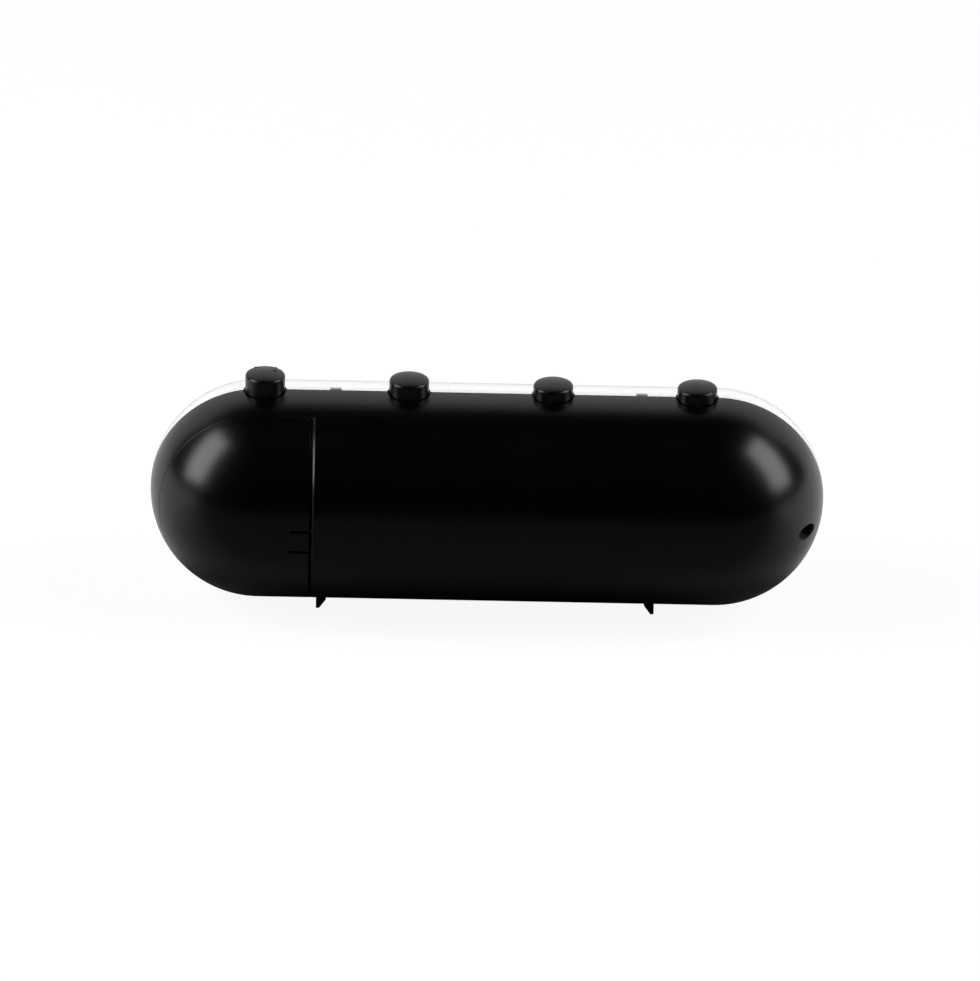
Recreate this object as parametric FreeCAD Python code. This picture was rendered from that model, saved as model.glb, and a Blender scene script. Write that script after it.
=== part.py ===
import FreeCAD, Part
import math
import os

# Desk alarm clock in the form of a lying capsule. The rear half is a black moulded shell, the front half a
# clear lens over a digital display. Millimetres, +Z up, -Y is the display side, +X is the battery end.
# Every piece is drawn about the capsule's own axis and lifted onto its feet when it is saved.

Vec = FreeCAD.Vector
X_AXIS = Vec(1, 0, 0)
Y_AXIS = Vec(0, 1, 0)
Z_AXIS = Vec(0, 0, 1)

# Case
BODY_RADIUS = 32.5
BODY_STRAIGHT = 136.0
WALL = 2.0
FOOT_DROP = 2.2
FIT_GAP = 0.1
SLIDE_GAP = 0.25

# Lens tongue that plugs into the rear shell
TONGUE_THICK = 1.1
TONGUE_REACH = 2.0
LENS_RIB_X = 5.4
LENS_RIB_THICK = 1.0
LENS_RIB_DEPTH = 6.0

# Snap hooks and locating nubs on the rear shell's rim
TOP_HOOK_X = 45.7
BOTTOM_HOOK_X = 20.0
HOOK_WIDTH = 3.4
HOOK_THICK = 1.0
HOOK_REACH = 4.2
HOOK_ROOT = 6.0
BARB_HEIGHT = 0.7
BARB_LENGTH = 1.6
NUB_X = 79.4
NUB_RADIUS = 0.6
NUB_REACH = 1.0

# Battery door
DOOR_EDGE_X = 52.6
DOOR_EDGE_Y = 12.8
DOOR_CORNER = 3.0
GROOVE_WIDTH = 1.2
GROOVE_DEPTH = 0.8
SLOT_HIGH_Z = 0.85
SLOT_LOW_Z = -6.0
SLOT_WIDTH = 0.8
SLOT_LENGTH = 5.8
SNAP_REACH = 1.4
SNAP_THICK = 1.2
LUG_SPACING = 10.0
LUG_WIDTH = 4.0
LUG_THICK = 1.6
LUG_INSET = 4.0
LUG_DEPTH = 3.3
LUG_BARB = 1.4

# Battery bay: a tray inside the rear shell
BAY_FLOOR_Y = 8.0
BAY_WALL = 1.0
LEDGE_THICK = 0.8
LEDGE_GAP = 0.2
LEDGE_REACH = 1.2
LEDGE_ROOT = 1.6
CELL_RADIUS = 5.25
CELL_LENGTH = 44.5
CELL_NUB_RADIUS = 1.9
CELL_NUB_HEIGHT = 1.0
CELL_PITCH = 11.2
CELL_COUNT = 2
CELL_SIDE_ROOM = 3.4
CELL_SHIFT = 1.4
CONTACT_THICK = 0.4
CONTACT_WIDTH = 6.0
END_STOP_THICK = 1.2
CRADLE_THICK = 2.4
CRADLE_HEIGHT = 3.6
CRADLE_Z = 13.0
SPRING_ROOM = 3.2

# Power socket
SOCKET_X = -95.6
SOCKET_Z = -3.2
SOCKET_HOLE_RADIUS = 2.3
SOCKET_BOSS_RADIUS = 3.8
SOCKET_BOSS_Y = 6.0
SOCKET_MOUTH_Y = 13.5
SOCKET_TAIL_Y = 2.4
SOCKET_BORE_RADIUS = 1.3
SOCKET_BORE_LENGTH = 5.0
SOCKET_CHAMBER_RADIUS = 1.6
SOCKET_FLANGE_RADIUS = 3.2
SOCKET_FLANGE_THICK = 1.2
SOCKET_FLOOR = 1.6
PIN_RADIUS = 0.35
PIN_LENGTH = 6.0

# Push buttons
BUTTON_RADIUS = 6.2
BUTTON_PROUD = 4.35
BUTTON_RISES = [0.0, 0.0, 0.8, 1.6]
BUTTON_PITCH = 43.0
BUTTON_CENTRE_X = 2.3
BUTTON_COUNT = 4
BUTTON_DOME = 0.75
BUTTON_RIM_FILLET = 0.9
BUTTON_SKIN = 1.3
BUTTON_TRAVEL = 0.8
FLANGE_LIP = 0.6
FLANGE_THICK = 1.2
STEM_RADIUS = 1.9

# Button frame, push switches and their board
GUIDE_GAP = 0.15
COLLAR_THICK = 0.8
FRAME_FLOOR = 1.2
FRAME_BAR_HALF = 5.0
FRAME_REST = 0.8
STEM_HOLE_GAP = 0.7
TAB_WIDTH = 6.0
TAB_PITCH = 38.0
TAB_REACH = 6.0
SHELF_HEIGHT = 3.6
SWITCH_SIDE = 6.0
SWITCH_HEIGHT = 3.5
SWITCH_TOP_GAP = 0.5
PLUNGER_RADIUS = 1.75
PLUNGER_LENGTH = 2.5
PLUNGER_PROUD = 1.3
PLUNGER_GAP = 0.05
BOARD_THICK = 1.6
SWITCH_BOARD_HALF = 5.3
POST_RADIUS = 1.8

# Display
HOUSING_GAP = 0.3
HOUSING_WALL = 1.6
HOUSING_DEPTH = 12.0
WINDOW_THICK = 1.0
WINDOW_MARGIN = 0.5
DIGIT_HEIGHT = 33.0
DIGIT_WIDTH = 18.0
DIGIT_PITCH = 24.0
COLON_GAP = 30.0
COLON_DOT_RADIUS = 1.9
COLON_DOT_RISE = 6.4
SEGMENT_WIDTH = 3.6
SEGMENT_GAP = 0.6
GUIDE_PLATE = 1.2
GUIDE_MARGIN = 0.8
LED_LENGTH = 3.5
LED_WIDTH = 2.8
LED_THICK = 0.7
MAIN_BOARD_LENGTH = 108.6
MAIN_BOARD_HEIGHT = 35.0
STANDOFF_RADIUS = 2.2
STANDOFF_INSET = 2.5

# Parts on the main board
CHIP_LENGTH = 18.0
CHIP_WIDTH = 7.5
CHIP_HEIGHT = 2.4
CHIP_X = 4.0
CHIP_Z = 3.0
CRYSTAL_LENGTH = 11.0
CRYSTAL_WIDTH = 4.6
CRYSTAL_HEIGHT = 3.5
CRYSTAL_X = 4.0
CRYSTAL_Z = -7.0
BUZZER_RADIUS = 6.0
BUZZER_HEIGHT = 8.5
BUZZER_HOLE_RADIUS = 1.2
BUZZER_HOLE_DEPTH = 2.0
BUZZER_X = -36.0
BUZZER_Z = -6.0
CAPACITOR_RADIUS = 3.15
CAPACITOR_HEIGHT = 7.0
CAPACITOR_X = 30.0
CAPACITOR_Z = -8.0
RIBBON_WIDTH = 10.0
RIBBON_THICK = 0.4
RIBBON_X = -28.0
RIBBON_BEND = 3.0
RIBBON_Y = -2.5

# Screws
SMALL_SCREW_RADIUS = 0.9
SMALL_SCREW_LENGTH = 4.4
SMALL_HEAD_RADIUS = 1.7
SMALL_HEAD_HEIGHT = 1.2
LONG_SCREW_RADIUS = 1.0
LONG_SCREW_LENGTH = 17.0
LONG_HEAD_RADIUS = 2.3
LONG_HEAD_HEIGHT = 1.3
HOLE_GAP = 0.3
CASE_POST_RADIUS = 3.0
LOW_SCREW_X = 48.0
LOW_SCREW_Z = -21.5
END_SCREW_X = 80.0
END_SCREW_Z = 12.0

# Feet
FOOT_X = 49.0
FOOT_ROOT = 3.0
FOOT_TIP = 1.0
FOOT_LENGTH = 20.0
FOOT_FLANGE_MARGIN = 1.5
FOOT_SLOT_GAP = 0.15

# Sizes that follow from the ones above
AXIS_HEIGHT = BODY_RADIUS + FOOT_DROP
HALF_STRAIGHT = BODY_STRAIGHT / 2
INNER_RADIUS = BODY_RADIUS - WALL
TONGUE_OUT = INNER_RADIUS - FIT_GAP
TONGUE_IN = TONGUE_OUT - TONGUE_THICK
HOUSING_OUT = TONGUE_IN - HOUSING_GAP
HOUSING_IN = HOUSING_OUT - HOUSING_WALL
FACE_BACK_Y = -HOUSING_DEPTH + HOUSING_WALL
FACE_RADIUS = math.sqrt(HOUSING_OUT ** 2 - HOUSING_DEPTH ** 2)
FLANGE_RADIUS = BUTTON_RADIUS + FLANGE_LIP
FLANGE_TOP = math.sqrt((HOUSING_IN - HOUSING_GAP) ** 2 - FLANGE_RADIUS ** 2)
FLANGE_BOTTOM = FLANGE_TOP - FLANGE_THICK
BUTTON_TOP = BODY_RADIUS + BUTTON_PROUD
BUTTON_HOLE_RADIUS = BUTTON_RADIUS + SLIDE_GAP
COLLAR_IN = FLANGE_RADIUS + GUIDE_GAP
COLLAR_OUT = COLLAR_IN + COLLAR_THICK
FLOOR_TOP = FLANGE_BOTTOM - BUTTON_TRAVEL - FRAME_REST
FLOOR_BOTTOM = FLOOR_TOP - FRAME_FLOOR
SWITCH_TOP = FLOOR_BOTTOM - SWITCH_TOP_GAP
SWITCH_BOARD_TOP = SWITCH_TOP - SWITCH_HEIGHT
SWITCH_BOARD_BOTTOM = SWITCH_BOARD_TOP - BOARD_THICK
PLUNGER_TOP = SWITCH_TOP + PLUNGER_PROUD
GUIDE_BACK_Y = FACE_BACK_Y + GUIDE_PLATE
LED_BACK_Y = GUIDE_BACK_Y + LED_THICK
BOARD_BACK_Y = LED_BACK_Y + BOARD_THICK
BAY_BACK_Y = BAY_FLOOR_Y + BAY_WALL
BULKHEAD_X = DOOR_EDGE_X - LEDGE_ROOT
CELL_Y = BAY_BACK_Y + CELL_RADIUS + FIT_GAP
STOP_Z = CELL_LENGTH / 2 + CELL_SHIFT + CONTACT_THICK
STOP_BOTTOM_Z = -CELL_LENGTH / 2 + CELL_SHIFT - SPRING_ROOM
SMALL_PILOT_RADIUS = SMALL_SCREW_RADIUS + 0.05
LONG_PILOT_RADIUS = LONG_SCREW_RADIUS + 0.05
REACH = BODY_STRAIGHT + 4 * BODY_RADIUS
BUTTON_XS = [BUTTON_CENTRE_X + (i - (BUTTON_COUNT - 1) / 2) * BUTTON_PITCH for i in range(BUTTON_COUNT)]
POST_XS = [(left + right) / 2 for left, right in zip(BUTTON_XS, BUTTON_XS[1:])]
TAB_XS = [-TAB_PITCH, 0.0, TAB_PITCH]
CELL_XS = [BULKHEAD_X + CELL_SIDE_ROOM + CELL_RADIUS + i * CELL_PITCH for i in range(CELL_COUNT)]
CASE_SCREWS = [
    (-LOW_SCREW_X, LOW_SCREW_Z),
    (LOW_SCREW_X, LOW_SCREW_Z),
    (-END_SCREW_X, END_SCREW_Z),
    (END_SCREW_X, END_SCREW_Z),
]


# Shapes used by several pieces


def block(low, high):
    """A box between two corners, given as (x, y, z)."""
    size = [b - a for a, b in zip(low, high)]
    return Part.makeBox(*size, Vec(*low))


def slab(low_y, high_y):
    """Everything between two planes across the Y axis."""
    return block((-REACH, low_y, -REACH), (REACH, high_y, REACH))


def rod(radius, start, end):
    """A round bar between two points."""
    along = Vec(*end) - Vec(*start)
    return Part.makeCylinder(radius, along.Length, Vec(*start), along)


def prism(points, along):
    """A straight extrusion of a closed outline."""
    corners = [Vec(*p) for p in points]
    outline = Part.makePolygon(corners + corners[:1])
    return Part.Face(outline).extrude(Vec(*along))


def turned(points, centre, axis=Z_AXIS):
    """A full turn of a closed outline that lies in a plane through the axis."""
    corners = [Vec(*p) for p in points]
    outline = Part.makePolygon(corners + corners[:1])
    return Part.Face(outline).revolve(Vec(*centre), axis, 360)


def capsule(radius):
    """A solid capsule about the X axis with the case's straight length."""
    left = Vec(-HALF_STRAIGHT - radius, 0, 0)
    right = Vec(HALF_STRAIGHT + radius, 0, 0)
    left_top = Vec(-HALF_STRAIGHT, 0, radius)
    right_top = Vec(HALF_STRAIGHT, 0, radius)
    bend = radius * math.sqrt(0.5)
    left_arc = Part.Arc(left, Vec(-HALF_STRAIGHT - bend, 0, bend), left_top).toShape()
    right_arc = Part.Arc(right_top, Vec(HALF_STRAIGHT + bend, 0, bend), right).toShape()
    top = Part.LineSegment(left_top, right_top).toShape()
    axis = Part.LineSegment(right, left).toShape()
    outline = Part.Wire([left_arc, top, right_arc, axis])
    return Part.Face(outline).revolve(Vec(0, 0, 0), X_AXIS, 360)


def skin(outer_radius, inner_radius):
    """The wall between two capsules on one axis."""
    return capsule(outer_radius).cut(capsule(inner_radius))


def stadium(radius, low_y, high_y):
    """A flat plate across the Y axis with the case's long outline."""
    bend = Vec(radius, 0, 0)
    left = Vec(-HALF_STRAIGHT, low_y, 0)
    right = Vec(HALF_STRAIGHT, low_y, 0)
    up = Vec(0, 0, radius)
    edges = [
        Part.LineSegment(left + up, right + up).toShape(),
        Part.Arc(right + up, right + bend, right - up).toShape(),
        Part.LineSegment(right - up, left - up).toShape(),
        Part.Arc(left - up, left - bend, left + up).toShape(),
    ]
    return Part.Face(Part.Wire(edges)).extrude(Vec(0, high_y - low_y, 0))


def door_zone(shrink):
    """All that lies behind the battery door's outline, pulled in from it by shrink."""
    edge_x = DOOR_EDGE_X + shrink
    edge_y = DOOR_EDGE_Y + shrink
    corner = DOOR_CORNER - shrink
    bend = corner * (1 - math.sqrt(0.5))
    arc_start = Vec(edge_x, edge_y + corner, -REACH)
    arc_mid = Vec(edge_x + bend, edge_y + bend, -REACH)
    arc_end = Vec(edge_x + corner, edge_y, -REACH)
    far = [Vec(REACH, edge_y, -REACH), Vec(REACH, REACH, -REACH), Vec(edge_x, REACH, -REACH)]
    edges = [Part.Arc(arc_start, arc_mid, arc_end).toShape()]
    stops = [arc_end] + far + [arc_start]
    for start, end in zip(stops, stops[1:]):
        edges.append(Part.LineSegment(start, end).toShape())
    return Part.Face(Part.Wire(edges)).extrude(Vec(0, 0, 2 * REACH))


def screw(head_radius, head_height, shank_radius, length, seat, along):
    """A pan-head screw whose head sits on the seat point and whose shank runs along the direction."""
    crown = head_radius * 0.75
    outline = [
        (0, 0, head_height),
        (crown, 0, head_height),
        (head_radius, 0, head_height * 0.5),
        (head_radius, 0, 0),
        (shank_radius, 0, 0),
        (shank_radius, 0, shank_radius - length),
        (0, 0, -length),
    ]
    shape = turned(outline, (0, 0, 0))
    turn = FreeCAD.Rotation(-Z_AXIS, Vec(*along))
    shape.Placement = FreeCAD.Placement(Vec(*seat), turn)
    return shape


def joined(shapes):
    """One solid of several that overlap."""
    return shapes[0].multiFuse(shapes[1:]).removeSplitter()


def save(name, shape):
    """Lift a piece onto the floor and write it."""
    placed = shape.copy()
    placed.translate(Vec(0, 0, AXIS_HEIGHT))
    placed.exportStep(os.path.join("parts", name + ".step"))


# Case


def button_holes(radius):
    """Upright holes for the four buttons."""
    return [rod(radius, (x, 0, BODY_RADIUS * 0.3), (x, 0, REACH / 2)) for x in BUTTON_XS]


def foot_room(margin, from_radius):
    """Room for a foot's blade and flange, one box per foot."""
    half_x = FOOT_ROOT / 2 + margin
    half_y = FOOT_LENGTH / 2 + margin
    return [
        block((x - half_x, -half_y, -REACH / 2), (x + half_x, half_y, -from_radius * 0.8))
        for x in (-FOOT_X, FOOT_X)
    ]


def foot_flange_room():
    """Room inside the case for the two feet's curved flanges."""
    inside = capsule(INNER_RADIUS)
    return [room.common(inside) for room in foot_room(FOOT_FLANGE_MARGIN + FOOT_SLOT_GAP, TONGUE_IN)]


def rim_hook(x, side):
    """A snap hook that reaches from the rear rim under the lens. side is 1 on top and -1 below."""
    top = INNER_RADIUS - 0.3
    bottom = top - HOOK_THICK
    half = HOOK_WIDTH / 2
    root = block((x - half, 0, bottom), (x + half, HOOK_ROOT, INNER_RADIUS + WALL / 4))
    tongue = block((x - half, -HOOK_REACH, bottom), (x + half, 0, top))
    barb_outline = [
        (x - half, -HOOK_REACH + BARB_LENGTH, top),
        (x - half, -HOOK_REACH + BARB_LENGTH, top + BARB_HEIGHT),
        (x - half, -HOOK_REACH, top),
    ]
    barb = prism(barb_outline, (HOOK_WIDTH, 0, 0))
    hook = joined([root, tongue, barb])
    if side < 0:
        hook = hook.mirror(Vec(0, 0, 0), Z_AXIS)
    return hook


def hook_room(x, side):
    """What a snap hook takes out of the lens: a slot in its tongue and a pocket in its wall."""
    half = HOOK_WIDTH / 2
    slot_half = half + SLIDE_GAP * 2
    pocket_half = half + FIT_GAP
    low = INNER_RADIUS - HOOK_THICK - 1.0
    slot = block((x - slot_half, -TONGUE_REACH - 0.5, low), (x + slot_half, TONGUE_REACH + 0.5, INNER_RADIUS))
    slot = slot.common(capsule(INNER_RADIUS))
    pocket = block(
        (x - pocket_half, -HOOK_REACH - SLIDE_GAP, low),
        (x + pocket_half, -HOOK_REACH + BARB_LENGTH + FIT_GAP, INNER_RADIUS - 0.3 + BARB_HEIGHT + FIT_GAP),
    )
    room = joined([slot, pocket])
    if side < 0:
        room = room.mirror(Vec(0, 0, 0), Z_AXIS)
    return room


def hook_places():
    """Where the four snap hooks sit, as (x, side)."""
    top = [(x, 1) for x in (-TOP_HOOK_X, TOP_HOOK_X)]
    bottom = [(x, -1) for x in (-BOTTOM_HOOK_X, BOTTOM_HOOK_X)]
    return top + bottom


def nubs(radius, reach):
    """Small pins on the rim that line the two halves up."""
    middle = BODY_RADIUS - WALL / 2
    height = math.sqrt(middle ** 2 - (NUB_X - HALF_STRAIGHT) ** 2)
    return [
        rod(radius, (x, reach, z), (x, -reach, z))
        for x in (-NUB_X, NUB_X)
        for z in (-height, height)
    ]


def door_groove():
    """The sloped lip that the rear shell turns towards the battery door's seam."""
    high = BODY_RADIUS + 0.1
    deep = BODY_RADIUS - GROOVE_DEPTH
    outline = [
        (DOOR_EDGE_X - GROOVE_WIDTH, 0, high),
        (DOOR_EDGE_X + 0.1, 0, high),
        (DOOR_EDGE_X + 0.1, 0, deep),
    ]
    return turned(outline, (0, 0, 0), X_AXIS).common(slab(DOOR_EDGE_Y, REACH))


def bay_ledge():
    """The thin step inside the rear shell that the battery door closes on."""
    outer = INNER_RADIUS - LEDGE_GAP
    inner = outer - LEDGE_THICK
    around = door_zone(-LEDGE_ROOT)
    step = skin(outer, inner).common(around).cut(door_zone(LEDGE_REACH))
    root = skin(INNER_RADIUS + 0.3, inner).common(around).cut(door_zone(-0.2))
    snap_window = block(
        (BULKHEAD_X - 1, CELL_Y, SLOT_LOW_Z - 0.8),
        (DOOR_EDGE_X + LEDGE_REACH + 1, REACH, SLOT_HIGH_Z + 0.8),
    )
    lug_half = LUG_SPACING / 2 + LUG_WIDTH / 2 + 1.5
    lug_window = block((HALF_STRAIGHT + INNER_RADIUS * 0.7, BAY_BACK_Y, -lug_half), (REACH, REACH, lug_half))
    return joined([step, root]).cut(snap_window).cut(lug_window.common(capsule(INNER_RADIUS)))


def ledge_room():
    """Room in the battery tray for the ledge, with the fitting gap round it."""
    around = door_zone(-LEDGE_ROOT - FIT_GAP).cut(door_zone(LEDGE_REACH + FIT_GAP))
    return skin(INNER_RADIUS, INNER_RADIUS - LEDGE_GAP - LEDGE_THICK - FIT_GAP).common(around)


def battery_tray():
    """The bay's floor, bulkhead, cell cradles, contact stops and end screw post, fitted inside the rear shell."""
    inside = capsule(INNER_RADIUS - FIT_GAP)
    floor = block((BULKHEAD_X - BAY_WALL, BAY_FLOOR_Y, -REACH), (REACH, BAY_BACK_Y, REACH)).common(inside)
    bulkhead = block((BULKHEAD_X - BAY_WALL, BAY_FLOOR_Y, -REACH), (BULKHEAD_X, REACH, REACH)).common(inside)
    low_x = CELL_XS[0] - CELL_RADIUS - 0.4
    high_x = CELL_XS[-1] + CELL_RADIUS + 0.4
    pieces = [floor, bulkhead]
    room = [rod(CELL_RADIUS + FIT_GAP, (x, CELL_Y, -REACH / 2), (x, CELL_Y, REACH / 2)) for x in CELL_XS]
    for z in (-CRADLE_Z, CRADLE_Z):
        low = (low_x, BAY_FLOOR_Y, z - CRADLE_THICK / 2)
        high = (high_x, BAY_BACK_Y + CRADLE_HEIGHT, z + CRADLE_THICK / 2)
        pieces.append(block(low, high).cut(room[0].multiFuse(room[1:])))
    clear = capsule(INNER_RADIUS - 0.3)
    stops = [(STOP_Z, STOP_Z + END_STOP_THICK), (STOP_BOTTOM_Z - END_STOP_THICK, STOP_BOTTOM_Z)]
    for low_z, high_z in stops:
        stop = block((low_x, BAY_FLOOR_Y, low_z), (high_x, CELL_Y + CELL_RADIUS, high_z))
        pieces.append(stop.common(clear))
    end = BAY_FLOOR_Y + BAY_WALL / 2
    pieces += [rod(CASE_POST_RADIUS, (x, 0, z), (x, end, z)) for x, z in CASE_SCREWS if x > BULKHEAD_X]
    tray = joined(pieces)
    post_room = rod(CASE_POST_RADIUS + FIT_GAP, (LOW_SCREW_X, 0, LOW_SCREW_Z), (LOW_SCREW_X, REACH, LOW_SCREW_Z))
    cuts = [post_room, ledge_room()] + foot_room(FOOT_SLOT_GAP, BODY_RADIUS) + foot_flange_room()
    for cut in cuts + screw_pilots():
        tray = tray.cut(cut)
    return tray.removeSplitter()


def rim_ribs():
    """Upright ribs inside the rear shell that carry the display housing's rim."""
    ring = skin(INNER_RADIUS + 0.3, HOUSING_IN)
    ribs = []
    for x in TAB_XS:
        half = HOUSING_WALL / 2
        zone = block((x - half, 0, -REACH), (x + half, INNER_RADIUS * 0.45, REACH))
        ribs.append(ring.common(zone))
    return ribs


def screw_posts():
    """Posts on the rear shell's wall that the long case screws bite into."""
    posts = []
    for x, z in CASE_SCREWS:
        if x < BULKHEAD_X:
            posts.append(rod(CASE_POST_RADIUS, (x, 0, z), (x, BODY_RADIUS, z)).common(capsule(INNER_RADIUS + 0.3)))
    return posts


def screw_pilots():
    """Blind holes in the screw posts."""
    depth = LONG_SCREW_LENGTH - HOUSING_DEPTH + LONG_HEAD_HEIGHT + 0.5
    return [rod(LONG_PILOT_RADIUS, (x, -1, z), (x, depth, z)) for x, z in CASE_SCREWS]


def rear_shell():
    """The black rear half with the battery opening and its ledge, ribs, posts, hooks and socket boss."""
    wall = skin(BODY_RADIUS, INNER_RADIUS).common(slab(0, REACH))
    wall = wall.cut(door_zone(0)).cut(door_groove())
    boss = rod(SOCKET_BOSS_RADIUS, (SOCKET_X, SOCKET_BOSS_Y, SOCKET_Z), (SOCKET_X, REACH / 2, SOCKET_Z))
    boss = boss.common(capsule(BODY_RADIUS))
    inner = rim_ribs() + screw_posts() + [bay_ledge()]
    tongue_room = skin(BODY_RADIUS, TONGUE_IN - FIT_GAP).common(slab(-1, TONGUE_REACH + FIT_GAP))
    inner = [piece.cut(tongue_room) for piece in inner]
    hooks = [rim_hook(x, side) for x, side in hook_places()]
    shell = wall.multiFuse([boss] + inner + hooks + nubs(NUB_RADIUS, NUB_REACH))
    socket_hole = rod(SOCKET_HOLE_RADIUS, (SOCKET_X, 0, SOCKET_Z), (SOCKET_X, REACH / 2, SOCKET_Z))
    cuts = button_holes(BUTTON_HOLE_RADIUS) + foot_room(FOOT_SLOT_GAP, BODY_RADIUS) + screw_pilots()
    cuts += foot_flange_room()
    for cut in cuts + [socket_hole]:
        shell = shell.cut(cut)
    return shell.removeSplitter()


def front_lens():
    """The clear front half with the tongue that plugs into the rear shell."""
    wall = skin(BODY_RADIUS, INNER_RADIUS).common(slab(-REACH, 0))
    tongue_root = skin(INNER_RADIUS + 0.2, TONGUE_IN).common(slab(-TONGUE_REACH, 0))
    tongue = skin(TONGUE_OUT, TONGUE_IN).common(slab(-TONGUE_REACH, TONGUE_REACH))
    rib_half = LENS_RIB_THICK / 2
    rib_zone = block((LENS_RIB_X - rib_half, -LENS_RIB_DEPTH, -REACH), (LENS_RIB_X + rib_half, 0, REACH))
    rib = skin(INNER_RADIUS + 0.2, TONGUE_IN).common(rib_zone)
    lens = wall.multiFuse([tongue_root, tongue, rib])
    cuts = button_holes(BUTTON_HOLE_RADIUS) + foot_room(FOOT_SLOT_GAP, BODY_RADIUS)
    cuts += foot_flange_room()
    cuts += [hook_room(x, side) for x, side in hook_places()]
    cuts += nubs(NUB_RADIUS + FIT_GAP, NUB_REACH + 0.2)
    for cut in cuts:
        lens = lens.cut(cut)
    return lens.removeSplitter()


def battery_door():
    """The end cap with its snap tongue and the two lugs that it hinges on."""
    wall = skin(BODY_RADIUS, INNER_RADIUS).common(door_zone(SLIDE_GAP))
    edge_x = DOOR_EDGE_X + SLIDE_GAP
    snap_low = SLOT_LOW_Z + SLOT_WIDTH / 2
    snap_high = SLOT_HIGH_Z - SLOT_WIDTH / 2
    snap_zone = block(
        (DOOR_EDGE_X - SNAP_REACH, CELL_Y, snap_low),
        (edge_x + SLOT_LENGTH / 2, REACH, snap_high),
    )
    under = INNER_RADIUS - 0.3
    snap = skin(under, under - SNAP_THICK).common(snap_zone)
    heel_zone = block((edge_x + 0.2, CELL_Y, snap_low), (edge_x + SLOT_LENGTH / 2, REACH, snap_high))
    heel = skin(INNER_RADIUS + 0.3, under - SNAP_THICK).common(heel_zone)
    pieces = [wall, snap, heel]
    lug_bottom = DOOR_EDGE_Y - LUG_DEPTH
    lug_x = HALF_STRAIGHT + math.sqrt(INNER_RADIUS ** 2 - DOOR_EDGE_Y ** 2) - LUG_INSET
    inside = capsule(INNER_RADIUS + 0.3)
    clear = capsule(INNER_RADIUS - 0.3)
    for z in (-LUG_SPACING / 2, LUG_SPACING / 2):
        low_z = z - LUG_WIDTH / 2
        high_z = z + LUG_WIDTH / 2
        stem = block((lug_x, lug_bottom, low_z), (lug_x + LUG_THICK, DOOR_EDGE_Y + 6, high_z)).common(inside)
        barb = block((lug_x, lug_bottom, low_z), (lug_x + LUG_THICK + LUG_BARB, lug_bottom + 1.4, high_z))
        root = block((lug_x, DOOR_EDGE_Y + SLIDE_GAP, low_z), (lug_x + LUG_INSET, DOOR_EDGE_Y + 3, high_z))
        pieces += [stem, barb.common(clear), root.common(inside)]
    door = joined(pieces)
    for z in (SLOT_LOW_Z, SLOT_HIGH_Z):
        low = (edge_x - 0.1 - SNAP_REACH, CELL_Y, z - SLOT_WIDTH / 2)
        high = (edge_x + SLOT_LENGTH, REACH, z + SLOT_WIDTH / 2)
        door = door.cut(block(low, high))
    return door.removeSplitter()


def foot(side):
    """A thin fin: a tapered blade below the case and a curved flange inside it."""
    x = side * FOOT_X
    outer = x + side * FOOT_ROOT / 2
    inner = x - side * FOOT_ROOT / 2
    tip = outer - side * FOOT_TIP
    half_y = FOOT_LENGTH / 2
    top = -BODY_RADIUS * 0.7
    outline = [
        (inner, -half_y, top),
        (inner, -half_y, -BODY_RADIUS * 0.98),
        (tip, -half_y, -AXIS_HEIGHT),
        (outer, -half_y, -AXIS_HEIGHT),
        (outer, -half_y, top),
    ]
    blade = prism(outline, (0, FOOT_LENGTH, 0)).cut(capsule(TONGUE_IN))
    half_x = FOOT_ROOT / 2 + FOOT_FLANGE_MARGIN
    low = (x - half_x, -half_y - FOOT_FLANGE_MARGIN, -REACH / 2)
    high = (x + half_x, half_y + FOOT_FLANGE_MARGIN, 0)
    flange = skin(TONGUE_OUT, TONGUE_IN).common(block(low, high))
    return joined([blade, flange])


# Buttons, frame and switches


def push_button(x, rise):
    """A hollow cap with a soft rim, a retaining flange and a centre stem, taller by its rise."""
    top = BUTTON_TOP + rise
    edge = BUTTON_RADIUS - BUTTON_RIM_FILLET
    rim_z = top - BUTTON_DOME
    bend = BUTTON_RIM_FILLET * (1 - math.sqrt(0.5))
    crown = Part.Arc(
        Vec(x, 0, top),
        Vec(x + edge / 2, 0, top - BUTTON_DOME / 4),
        Vec(x + edge, 0, rim_z),
    )
    rim = Part.Arc(
        Vec(x + edge, 0, rim_z),
        Vec(x + BUTTON_RADIUS - bend, 0, rim_z - bend),
        Vec(x + BUTTON_RADIUS, 0, rim_z - BUTTON_RIM_FILLET),
    )
    under = rim_z - BUTTON_SKIN
    hollow = BUTTON_RADIUS - BUTTON_SKIN
    stops = [
        Vec(x + BUTTON_RADIUS, 0, rim_z - BUTTON_RIM_FILLET),
        Vec(x + BUTTON_RADIUS, 0, FLANGE_TOP),
        Vec(x + FLANGE_RADIUS, 0, FLANGE_TOP),
        Vec(x + FLANGE_RADIUS, 0, FLANGE_BOTTOM),
        Vec(x + hollow, 0, FLANGE_BOTTOM),
        Vec(x + hollow, 0, under),
        Vec(x + STEM_RADIUS, 0, under),
        Vec(x + STEM_RADIUS, 0, PLUNGER_TOP),
        Vec(x, 0, PLUNGER_TOP),
        Vec(x, 0, top),
    ]
    edges = [crown.toShape(), rim.toShape()]
    for start, end in zip(stops, stops[1:]):
        edges.append(Part.LineSegment(start, end).toShape())
    return Part.Face(Part.Wire(edges)).revolve(Vec(x, 0, 0), Z_AXIS, 360)


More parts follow.
